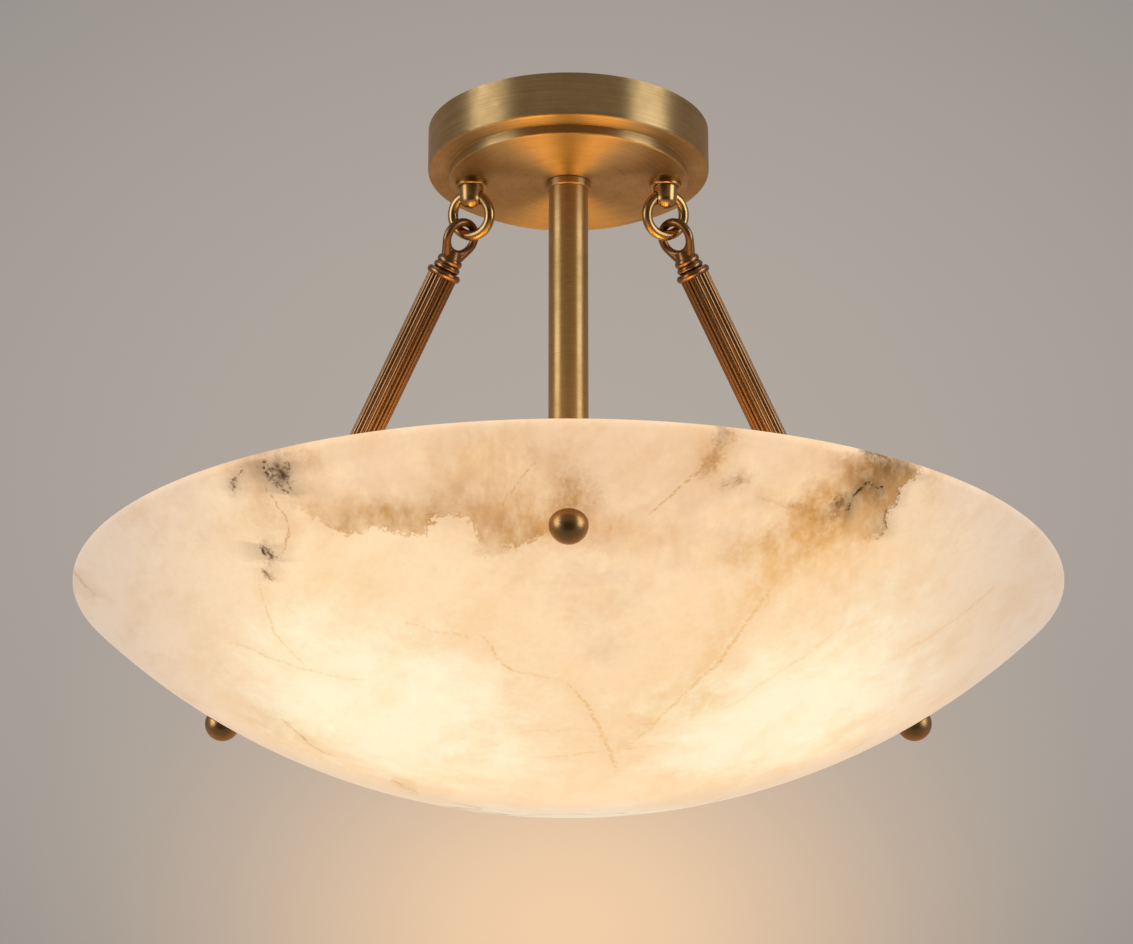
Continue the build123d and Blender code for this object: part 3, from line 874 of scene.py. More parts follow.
PATCHES = (
    Patch(
        Stain.SMOKE,
        ((-121.5, -176), (-104.8, -184.9), (-97.7, -190.4), (-87.8, -191.2), (-81.3, -187.7),
         (-72, -190.2), (-62.3, -191.1), (-54.9, -182.2), (-45.2, -182.6), (-40.3, -188.9),
         (-32.9, -195.2), (-23.6, -194.1), (-14, -191.9), (-3.7, -184.7)),
        edge=0.9, fade=34, strength=0.44, upright=False, flip=1,
        smudges=smudges(
            (-93.9, -184, 20, 9, 0, 0.2),
            (-70.5, -184, 15, 8, 0, 0.4),
            (-53, -177, 10, 11, 0, 0.2),
            (-36.7, -176, 13, 14, 0, 0.18),
            (-22.7, -187.5, 12, 8.5, 0, 0.25),
            (-18, -168, 16, 12, 0, 0.2),
            (-79, -182, 16, 5, 8, 0.3),
            (-28, -150.6, 22, 8, 0, 0.25),
        ),
    ),
    Patch(
        Stain.SMOKE,
        ((151.9, -152.8), (150, -161), (147, -166), (141.5, -169), (139.8, -174), (136.5, -179),
         (134, -188), (127.7, -194)),
        edge=0.9, fade=20, strength=0.6, upright=True, flip=-1,
        smudges=smudges(
            (132, -169, 15, 12, 25, 0.9),
            (122, -161, 14, 7, -25, 0.7),
        ),
    ),
    Patch(
        Stain.GREY,
        ((153.9, -150.8), (149.9, -160.8), (143.8, -171.4), (134.5, -188.3)),
        edge=0.9, fade=4, strength=0.15, upright=True, flip=-1,
        smudges=smudges(
            (129, -167.5, 12, 6.5, 20, 0.5),
            (140, -160, 9, 4, -20, 0.5),
        ),
    ),
    Patch(Stain.AMBER, AMBER_SEAM, edge=1.6, fade=52, strength=0.4, upright=True, flip=-1),
    Patch(
        Stain.AMBER,
        ((-34.1, -194.4), (-37.4, -213.7), (-38, -233), (-23.9, -249.1), (-0.6, -255.5),
         (10.8, -271.5)),
        edge=12, fade=50, strength=0.22, upright=True, flip=1,
    ),
)


class Drawing:
    """Draws markings on the front view of the stone, and keeps the strongest of each kind."""

    def __init__(self, wires: Wires, point: Socket, tilt: float) -> None:
        """Starts with no marking.

        Args:
            wires: The material's wires.
            point: Place in millimetres.
            tilt: How far the front view looks up, in degrees.
        """
        lean = math.radians(tilt)
        self.wires = wires
        self.point = point
        self.up = (0.0, -math.sin(lean), math.cos(lean))
        self.behind = wires.vector("DOT_PRODUCT", point, (0.0, math.cos(lean), math.sin(lean)))
        self.masks: Dict[Stain, Socket] = {}

    def add(self, stain: Stain, mask: Socket) -> None:
        """Adds a mask.

        Args:
            stain: The kind of marking.
            mask: Where it is.
        """
        if stain in self.masks:
            mask = self.wires.calc("MAXIMUM", self.masks[stain], mask)
        self.masks[stain] = mask

    def fade(self, share: Value) -> None:
        """Weakens every mask by a share."""
        self.masks = {s: self.wires.times(m, share) for s, m in self.masks.items()}

    def view(self, *stirs: Tuple[Grain, float]) -> Socket:
        """Flattens a place onto the front view, stirred so that drawn lines look grown.

        Args:
            stirs: Noises, each with how far it moves a place in millimetres.

        Returns:
            The place as across, up and 0.
        """
        wires, moved = self.wires, self.point
        for grain, reach in stirs:
            noise = wires.noise(self.point, *grain, output="Color")
            centred = wires.vector("SUBTRACT", noise, (NOISE_MIDDLE,) * 3)
            moved = wires.vector("ADD", moved, wires.vector("SCALE", centred, reach))
        across = wires.xyz(moved)[0]
        return wires.combine(across, wires.vector("DOT_PRODUCT", moved, self.up), 0.0)

    def line(self, points: Sequence[Point], upright: bool, place: Socket) -> List[Socket]:
        """Reads how far a place is from a drawn line.

        Args:
            points: The line on the front view.
            upright: Whether the line is followed downwards instead of sideways.
            place: Place on the front view.

        Returns:
            The place along the line from 0 to 1, and the offset from it.
        """
        wires = self.wires
        u, v, _ = wires.xyz(place)
        ordered = sorted((q, p) if upright else (p, q) for p, q in points)
        main, cross = (v, u) if upright else (u, v)
        starts, heights = zip(*ordered)
        low, span = min(heights), max(max(heights) - min(heights), 1.0)
        reach = starts[-1] - starts[0]
        along = wires.calc("DIVIDE", wires.calc("SUBTRACT", main, starts[0]), reach)
        curve = wires.node("ShaderNodeFloatCurve")
        drawn = curve.mapping.curves[0]
        for start, height in ordered[1:-1]:
            drawn.points.new((start - starts[0]) / reach, (height - low) / span)
        drawn.points[0].location = (0, (heights[0] - low) / span)
        drawn.points[-1].location = (1, (heights[-1] - low) / span)
        curve.mapping.update()
        there = wires.calc("MULTIPLY_ADD", wires.put(curve, Value=along).outputs[0], span, low)
        steep = abs(heights[-1] - heights[0]) / reach
        offset = wires.times(wires.calc("SUBTRACT", cross, there), 1 / math.hypot(1, steep))
        return [along, offset]

    def cloud(self, place: Socket, group: Sequence[Smudge]) -> Value:
        """Adds up soft clouds.

        Args:
            place: Place on the front view.
            group: The clouds.

        Returns:
            Their summed mask, or 0 for none.
        """
        wires = self.wires
        total: Value = 0.0
        for smudge in group:
            oval = wires.group(Groups.smudge, Place=place, Centre=(smudge.u, smudge.v, 0.0))
            turn = (0.0, 0.0, math.radians(smudge.turn))
            wires.put(oval, Turn=turn, Size=(smudge.wide, smudge.high, 1.0))
            total = wires.calc("MULTIPLY_ADD", oval.outputs[0], smudge.strength, total)
        return total


@dataclass(frozen=True)
class Alabaster(Finish):
    """Lit alabaster: a painted glow round each lamp, painted shade towards its ends and outline,
    clouds, smoky patches and dark veins.

    Places are in millimetres, and so is the space that the noises are read in.
    """

    name: str = "lit_alabaster"
    shine: float = 0.12
    # The stone's glow is painted light: an emission that stands in for the lamps shining through
    # it.
    emission: float = 0.88
    tilt: float = 20.14
    # Painted glow colours, from the weakest lamp light to the hottest near a lamp.
    dim_glow_colour: Colour = srgb(238, 203, 165)
    mid_glow_colour: Colour = srgb(252, 220, 178)
    hot_glow_colour: Colour = srgb(255, 242, 207)
    # Painted shade colour towards the ends and the outline of the front view.
    end_shade_colour: Colour = srgb(203, 185, 169)
    body_glow: Range = (0.02, 0.42)
    hot_glow: Range = (0.5, 1.0)
    # Painted pools of light round the three lamps inside, and how far each reaches.
    lamp_glow_spots: Tuple[Place, ...] = ((-84, -62, -311), (104, -56, -309), (0, 104, -313))
    lamp_glow_reach: float = 114.0
    # Painted shade towards the two ends and towards the outline of the front view.
    ends: Ramp = (105.0, 226.0, 0.0, 0.85)
    limb_shade: Ramp = (-112.0, -56.0, 0.0, 0.45)
    middle: Place = (0.0, 0.0, -1.0)
    # The inner face gets a darker base colour and a slightly weaker painted glow than the outer
    # face.
    base_skin: Ramp = (320.0, 327.0, 0.2, 0.36)
    glow_skin: Ramp = (320.0, 327.0, 0.94, 1.0)
    mottles: Tuple[Grain, ...] = ((0.022, 6.0, 0.6), (0.075, 5.0, 0.6))
    mottle_reach: float = 0.6
    streak: Grain = (0.35, 4.0, 0.6)
    streak_shade: Ramp = (0.25, 0.75, 0.97, 1.02)
    streak_rough: Ramp = (0.3, 0.7, 0.3, 0.42)
    streak_height: float = 0.04
    streak_depth: float = 0.0003
    waves: Tuple[Grain, float] = ((0.045, 3.0, 0.55), 7.0)
    teeth: Grain = (0.4, 6.0, 0.75)
    calm_teeth: float = 2.6
    torn_teeth: float = 15.0
    fray: Grain = (0.5, 5.0, 0.7)
    flame: Grain = (0.13, 6.0, 0.62)
    flame_squeeze: Place = (1.0, 0.5, 0.5)
    smoke: Ramp = (0.28, 0.7, 0.45, 1.25)
    veil: Ramp = (0.44, 0.66, 0.0, 0.24)
    veil_grain: Grain = (0.045, 6.0, 0.68)
    veil_turn: float = 40.0
    veil_stretch: Place = (1.7, 1.0, 1.0)
    drawn_end: Ramp = (-95.0, -45.0, 1.0, 0.0)
    wild_start: Range = (-100.0, -30.0)
    wild_detail: Tuple[float, float] = (3.5, 0.55)
    wild_gaps: Range = (0.5, 0.62)
    wild_gap_scale: float = 1.7
    wild_gap_detail: float = 2.0
    wild: Tuple[Tuple[Stain, float, float, float], ...] = (
        (Stain.AMBER, 0.011, 0.03, 0.55),
        (Stain.GREY, 0.008, 0.016, 0.45),
        (Stain.SMOKE, 0.006, 0.06, 0.5),
    )
    tints: Tuple[Tuple[Stain, Colour], ...] = (
        (Stain.AMBER, (0.82, 0.62, 0.34)),
        (Stain.SMOKE, (0.62, 0.47, 0.29)),
        (Stain.GREY, (0.11, 0.08, 0.058)),
    )
    clouds: Tuple[Tuple[Stain, Tuple[Smudge, ...]], ...] = CLOUDS
    flakes: Tuple[Flakes, ...] = FLAKES
    veins: Tuple[Vein, ...] = VEINS
    patches: Tuple[Patch, ...] = PATCHES

    def draw(self, drawing: Drawing) -> None:
        """Draws all the markings, with a painted shadow and painted patches of glow among them.

        Args:
            drawing: Where they go.
        """
        wires, point = drawing.wires, drawing.point
        fray = wires.noise(point, *self.fray)
        flame = wires.noise(wires.vector("MULTIPLY", point, self.flame_squeeze), *self.flame)
        smoke = wires.smooth(flame, *self.smoke)
        calm = drawing.view(self.waves, (self.teeth, self.calm_teeth))
        torn = drawing.view(self.waves, (self.teeth, self.torn_teeth))
        slant = wires.node("ShaderNodeMapping", vector_type="TEXTURE")
        turn = (0.0, 0.0, math.radians(self.veil_turn))
        wires.put(slant, Vector=calm, Rotation=turn, Scale=self.veil_stretch)
        veil = wires.noise(slant.outputs[0], *self.veil_grain)
        drawing.add(Stain.AMBER, wires.smooth(veil, *self.veil))
        for stain, group in self.clouds:
            drawing.add(stain, wires.times(drawing.cloud(torn, group), smoke))
        for vein in self.veins:
            along, offset = drawing.line(vein.points, vein.upright, calm)
            made = wires.group(Groups.vein, Offset=offset, Along=along, Fray=fray)
            wires.put(made, Width=vein.width, Halo=vein.halo)
            drawing.add(vein.stain, wires.times(made.outputs[0], vein.strength))
        for flakes in self.flakes:
            along, offset = drawing.line(flakes.points, flakes.upright, calm)
            made = wires.group(Groups.flake, Offset=offset, Along=along, Fray=fray)
            wires.put(made, Width=flakes.width)
            drawing.add(Stain.GREY, wires.times(made.outputs[0], flakes.strength))
        for patch in self.patches:
            along, offset = drawing.line(patch.points, patch.upright, torn)
            made = wires.group(Groups.feather, Offset=wires.times(offset, patch.flip), Along=along)
            wires.put(made, Edge=patch.edge, Fade=patch.fade)
            clouds = drawing.cloud(calm, patch.smudges)
            depth = wires.calc("MULTIPLY_ADD", made.outputs["Fade"], patch.strength, clouds)
            drawing.add(patch.stain, wires.times(wires.times(depth, smoke), made.outputs["Inside"]))
        drawing.fade(wires.smooth(drawing.behind, *self.drawn_end))

    def grow(self, drawing: Drawing) -> None:
        """Adds faint natural veins where none are drawn.

        Args:
            drawing: Where they go.
        """
        wires, point = drawing.wires, drawing.point
        back = wires.smooth(drawing.behind, *self.wild_start)
        for stain, scale, width, strength in self.wild:
            grown = wires.noise(point, scale, *self.wild_detail)
            off = wires.calc("ABSOLUTE", wires.calc("SUBTRACT", grown, NOISE_MIDDLE))
            gaps = wires.noise(point, scale * self.wild_gap_scale, self.wild_gap_detail)
            line = wires.smooth(off, 0.0, width, strength, 0.0)
            line = wires.times(line, wires.smooth(gaps, *self.wild_gaps))
            drawing.add(stain, wires.times(line, back))

    def make(self) -> bpy.types.Material:
        """Builds the material.

        Returns:
            The material.
        """
        material, wires, shader = new_material(self.name)
        point = wires.vector("SCALE", wires.place(), 1 / MM)
        drawing = Drawing(wires, point, self.tilt)
        self.draw(drawing)
        self.grow(drawing)
        # Painted glow: pools of light round each lamp and painted bright patches, mottled.
        glow = drawing.masks[Stain.LIGHT]
        for spot in self.lamp_glow_spots:
            away = wires.squared(wires.vector("DISTANCE", point, spot), self.lamp_glow_reach)
            glow = wires.calc("MAXIMUM", glow, wires.bell(away))
        for grain in self.mottles:
            glow = wires.sway(glow, wires.noise(point, *grain), self.mottle_reach)
        colour = wires.mix(wires.smooth(glow, *self.body_glow), self.dim_glow_colour, self.mid_glow_colour)
        colour = wires.mix(wires.smooth(glow, *self.hot_glow), colour, self.hot_glow_colour)
        # Painted shade: darker towards the two ends and the outline of the front view.
        ends = wires.smooth(wires.calc("ABSOLUTE", wires.xyz(point)[0]), *self.ends)
        limb_shade = wires.smooth(drawing.behind, *self.limb_shade)
        colour = wires.mix(wires.calc("MAXIMUM", ends, limb_shade), colour, self.end_shade_colour)
        for stain, tint in self.tints:
            dyed = wires.mix(1.0, colour, tint, "MULTIPLY")
            colour = wires.mix(drawing.masks[stain], colour, dyed)
        streak = wires.noise(point, *self.streak)
        colour = wires.vector("SCALE", colour, wires.smooth(streak, *self.streak_shade))
        reach = wires.vector("DISTANCE", point, self.middle)
        # The painted colour, with its glow and shade, feeds both the base colour and the emission.
        wires.put(
            shader,
            Base_Color=wires.vector("SCALE", colour, wires.smooth(reach, *self.base_skin)),
            Roughness=wires.smooth(streak, *self.streak_rough),
            Specular_IOR_Level=self.shine,
            Emission_Color=wires.vector("SCALE", colour, wires.smooth(reach, *self.glow_skin)),
            Emission_Strength=self.emission,
            Normal=wires.bump(streak, self.streak_height, self.streak_depth),
        )
        return material


BRUSHED = {"amount": 0.5, "scale": 22.0, "brushing": Brushing.ROUND}
AGED_BRASS = MetalFinish(
    "aged_brass",
    (0.44, 0.305, 0.142),
    (0.335, 0.222, 0.093),
    0.46,
    anisotropy=0.9,
    grain=0.12,
    **BRUSHED,
)
STEM_BRASS = MetalFinish(
    "stem_brass",
    (0.43, 0.288, 0.122),
    (0.335, 0.213, 0.085),
    0.46,
    anisotropy=0.86,
    grain=0.1,
    metallic=0.9,
    **BRUSHED,
)
RING_BRASS = MetalFinish("ring_brass", (0.42, 0.27, 0.11), (0.28, 0.17, 0.068), 0.27, 0.6, 40.0)
DOME_BRASS = MetalFinish("dome_brass", (0.36, 0.21, 0.085), (0.26, 0.145, 0.055), 0.33, 0.5, 40.0)
PLAIN_BRASS = MetalFinish("plain_brass", (0.72, 0.55, 0.28), (0.55, 0.4, 0.18), 0.3, 0.5, 40.0)
DARK_BRONZE = MetalFinish("dark_bronze", (0.265, 0.14, 0.062), (0.17, 0.087, 0.038), 0.33, 0.6, 36)
ZINC_STEEL = MetalFinish("zinc_steel", (0.62, 0.62, 0.6), (0.45, 0.46, 0.47), 0.36, 0.6, 70.0)
LAMP_CAP = MetalFinish("lamp_cap", (0.75, 0.74, 0.71), (0.55, 0.54, 0.52), 0.3, 0.5, 60.0)
PORCELAIN = PlainFinish("porcelain", srgb(238, 232, 222), srgb(222, 214, 202), 0.25, 0.5)
SOFT_WASHER = PlainFinish("soft_washer", (0.06, 0.05, 0.045), (0.03, 0.027, 0.025), 0.7)
FROSTED_GLOBE = FrostedGlobe()
LIT_ALABASTER = Alabaster()


class Palette:
    """Makes each finish once and puts it on pieces."""

    def __init__(self) -> None:
        """Starts with no finish made."""
        self.made: Dict[str, bpy.types.Material] = {}

    def get(self, finish: Finish) -> bpy.types.Material:
        """Gives a finish's material.

        Args:
            finish: The finish.

        Returns:
            Its material, made the first time.
        """
        if finish.name not in self.made:
            self.made[finish.name] = finish.make()
        return self.made[finish.name]

    def dress(self, finish: Finish, *nodes: str) -> None:
        """Puts a finish on CAD nodes.

        Args:
            finish: The finish.
            nodes: Names of the nodes.
        """
        for name in nodes:
            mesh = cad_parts[name].data
            mesh.materials.clear()
            mesh.materials.append(self.get(finish))
            LOG.info("dressed %s in %s", name, finish.name)


def close_piece(shared: SharedGroup, mesh: Socket) -> bpy.types.NodeTree:
    """Ends a tree with smooth shading, real instances and the finish.

    Args:
        shared: The tree's group.
        mesh: What it has made.

    Returns:
        The finished tree.
    """
    wires = shared.wires
    soft = wires.geometry("SetShadeSmooth", Geometry=mesh).outputs[0]
    real = wires.geometry("RealizeInstances", Geometry=soft).outputs[0]
    dyed = wires.geometry("SetMaterial", Geometry=real, Material=shared.given["Finish"])
    return shared.close(Piece=dyed.outputs[0])


def turned_tree() -> bpy.types.NodeTree:
    """Turns a profile round the Z axis, with reeds where they are asked for.

    Returns:
        The Geometry Nodes tree.
    """
    inputs = {
        "Profile": "Geometry",
        "Segments": "Int",
        "Reeds": "Int",
        **floats("Reed Depth", "Crest Radius"),
        "Finish": "Material",
    }
    shared = SharedGroup("turned_piece", inputs, {"Piece": "Geometry"}, "Geometry")
    wires, given = shared.wires, shared.given
    count = wires.node("GeometryNodeAttributeDomainSize", component="MESH")
    wires.put(count, Geometry=given["Profile"])
    columns = wires.calc("ADD", given["Segments"], 1.0)
    rows = count.outputs["Point Count"]
    grid = wires.geometry("MeshGrid", Vertices_X=rows, Vertices_Y=columns)
    index = wires.geometry("InputIndex").outputs[0]
    row = wires.calc("FLOOR", wires.calc("DIVIDE", wires.calc("ADD", index, 0.5), columns))
    column = wires.calc("SUBTRACT", index, wires.times(row, columns))
    share = wires.calc("DIVIDE", column, given["Segments"])
    sample = wires.node("GeometryNodeSampleIndex", data_type="FLOAT_VECTOR", domain="POINT")
    place = wires.geometry("InputPosition").outputs[0]
    wires.put(sample, Geometry=given["Profile"], Value=place, Index=row)
    radius, _, height = wires.xyz(sample.outputs[0])
    reed = wires.calc("FRACT", wires.times(share, given["Reeds"]))
    across = wires.calc("MULTIPLY_ADD", reed, 2.0, -1.0)
    sunk = wires.times(wires.times(across, across), given["Reed Depth"])
    cut = wires.times(sunk, wires.calc("DIVIDE", radius, given["Crest Radius"]))
    final = wires.calc("SUBTRACT", radius, cut)
    angle = wires.times(share, FULL_TURN)
    x = wires.times(final, wires.calc("COSINE", angle))
    y = wires.times(final, wires.calc("SINE", angle))
    turned = wires.combine(x, y, height)
    moved = wires.geometry("SetPosition", Geometry=grid.outputs["Mesh"], Position=turned)
    stored = wires.node("GeometryNodeStoreNamedAttribute", data_type="FLOAT", domain="POINT")
    valley_depth = wires.calc("DIVIDE", sunk, wires.calc("MAXIMUM", given["Reed Depth"], WELD))
    wires.put(stored, Geometry=moved.outputs[0], Name="groove", Value=valley_depth)
    merged = wires.geometry("MergeByDistance", Geometry=stored.outputs[0], Distance=WELD)
    return close_piece(shared, merged.outputs[0])


def drilled_tree(turned: bpy.types.NodeTree) -> bpy.types.NodeTree:
    """Turns a profile and drills holes through it, evenly round the axis.

    Args:
        turned: The tree that turns a profile.

    Returns:
        The Geometry Nodes tree.
    """
    inputs = {
        "Profile": "Geometry",
        "Segments": "Int",
        "Holes": "Int",
        "Drill Sides": "Int",
        **floats("Hole Radius", "Hole Lean", "Drill Length"),
        "Hole Place": "Vector",
        "Drill Centre": "Vector",
        "Finish": "Material",
    }
    shared = SharedGroup("drilled_bowl", inputs, {"Piece": "Geometry"}, "Geometry")
    wires, given = shared.wires, shared.given
    shell = wires.node("GeometryNodeGroup", node_tree=turned)
    wires.put(shell, Profile=given["Profile"], Segments=given["Segments"], Crest_Radius=1.0)
    wires.put(shell, Finish=given["Finish"])
    drill = wires.geometry("MeshCylinder", Depth=given["Drill Length"])
    wires.put(drill, Vertices=given["Drill Sides"], Radius=given["Hole Radius"])
    down = wires.geometry("Transform", Geometry=drill.outputs["Mesh"])
    wires.put(down, Translation=given["Hole Place"])
    lean = wires.geometry("Transform", Geometry=down.outputs[0])
    wires.put(lean, Rotation=wires.combine(given["Hole Lean"], 0.0, 0.0))
    wires.put(lean, Translation=given["Drill Centre"])
    line = wires.geometry("MeshLine", Count=given["Holes"], Offset=(0.0, 0.0, 0.0))
    index = wires.geometry("InputIndex").outputs[0]
    turn = wires.times(wires.calc("DIVIDE", index, given["Holes"]), FULL_TURN)
    drills = wires.geometry("InstanceOnPoints", Points=line.outputs["Mesh"])
    wires.put(drills, Instance=lean.outputs[0], Rotation=wires.combine(0.0, 0.0, turn))
    cutters = wires.geometry("RealizeInstances", Geometry=drills.outputs[0])
    cut = wires.node("GeometryNodeMeshBoolean", operation="DIFFERENCE", solver="EXACT")
    wires.feed(cut.inputs["Mesh 1"], shell.outputs[0])
    wires.feed(cut.inputs["Mesh 2"], cutters.outputs[0])
    return close_piece(shared, cut.outputs[0])


class Trees:
    """The Geometry Nodes trees that pieces share."""

    turned = turned_tree()
    drilled = drilled_tree(turned)


def profile_mesh(name: str, points: Sequence[Point]) -> bpy.types.Mesh:
    """Makes a mesh of a section's points, joined in order.

    Args:
        name: The mesh's name.
        points: Radius and height of each, in millimetres.

    Returns:
        The mesh, in metres.
    """
    mesh = bpy.data.meshes.new(name)
    edges = [(i, i + 1) for i in range(len(points) - 1)]
    mesh.from_pydata([(r * MM, 0, z * MM) for r, z in points], edges, [])
    return mesh


def node_piece(
    name: str, mesh: bpy.types.Mesh, tree: bpy.types.NodeTree, **values: object
) -> bpy.types.Object:
    """Runs a Geometry Nodes tree on a mesh and keeps the result as a plain mesh.

    Args:
        name: The piece's name.
        mesh: What the tree starts from.
        tree: The tree.
        values: Its inputs by name, with underscores for spaces.

    Returns:
        The finished object, at the origin.
    """
    piece = bpy.data.objects.new(name, mesh)
    bpy.context.scene.collection.objects.link(piece)
    modifier = piece.modifiers.new("shape", "NODES")
    modifier.node_group = tree
    sockets = {s.name: s.identifier for s in tree.interface.items_tree if s.in_out == "INPUT"}
    for key, value in values.items():
        modifier[sockets[key.replace("_", " ")]] = value
    depsgraph = bpy.context.evaluated_depsgraph_get()
    made = bpy.data.meshes.new_from_object(piece.evaluated_get(depsgraph))
    piece.modifiers.clear()
    piece.data = made
    return piece


def settle(piece: bpy.types.Object, place: Matrix, sharp: float) -> None:
    """Puts a piece's place into its mesh and turns its faces outwards.

    Args:
        piece: The piece.
        place: Where it goes.
        sharp: Angle in degrees above which an edge stays sharp.
    """
    piece.data.transform(place)
    work = bmesh.new()
    work.from_mesh(piece.data)
    bmesh.ops.remove_doubles(work, verts=work.verts, dist=SAME_POINT)
    bmesh.ops.recalc_face_normals(work, faces=work.faces)
    work.to_mesh(piece.data)
    work.free()
    piece.data.set_sharp_from_angle(angle=math.radians(sharp))


def axes_matrix(origin: Vector, across: Vector, along: Vector) -> Matrix:
    """Matrix of a place whose X is across and whose Z is along.

    Args:
        origin: The place in millimetres.
        across: Direction of X.
        along: Direction of Z.

    Returns:
        The matrix in metres.
    """
    z_axis = along.normalized()
    x_axis = (across - z_axis * across.dot(z_axis)).normalized()
    y_axis = z_axis.cross(x_axis)
    turn = Matrix((x_axis, y_axis, z_axis)).transposed().to_4x4()
    return Matrix.Translation(origin * MM) @ turn


def arc(centre: Point, radius: float, start: float, end: float, steps: int) -> List[Point]:
    """Points on an arc.

    Args:
        centre: Its centre.
        radius: Its radius.
        start: First angle in degrees.
        end: Last angle in degrees.
        steps: How many pieces it is cut into.

    Returns:
        The points, ends included.
    """
    turns = [math.radians(start + (end - start) * i / steps) for i in range(steps + 1)]
    return [(centre[0] + radius * math.cos(t), centre[1] + radius * math.sin(t)) for t in turns]


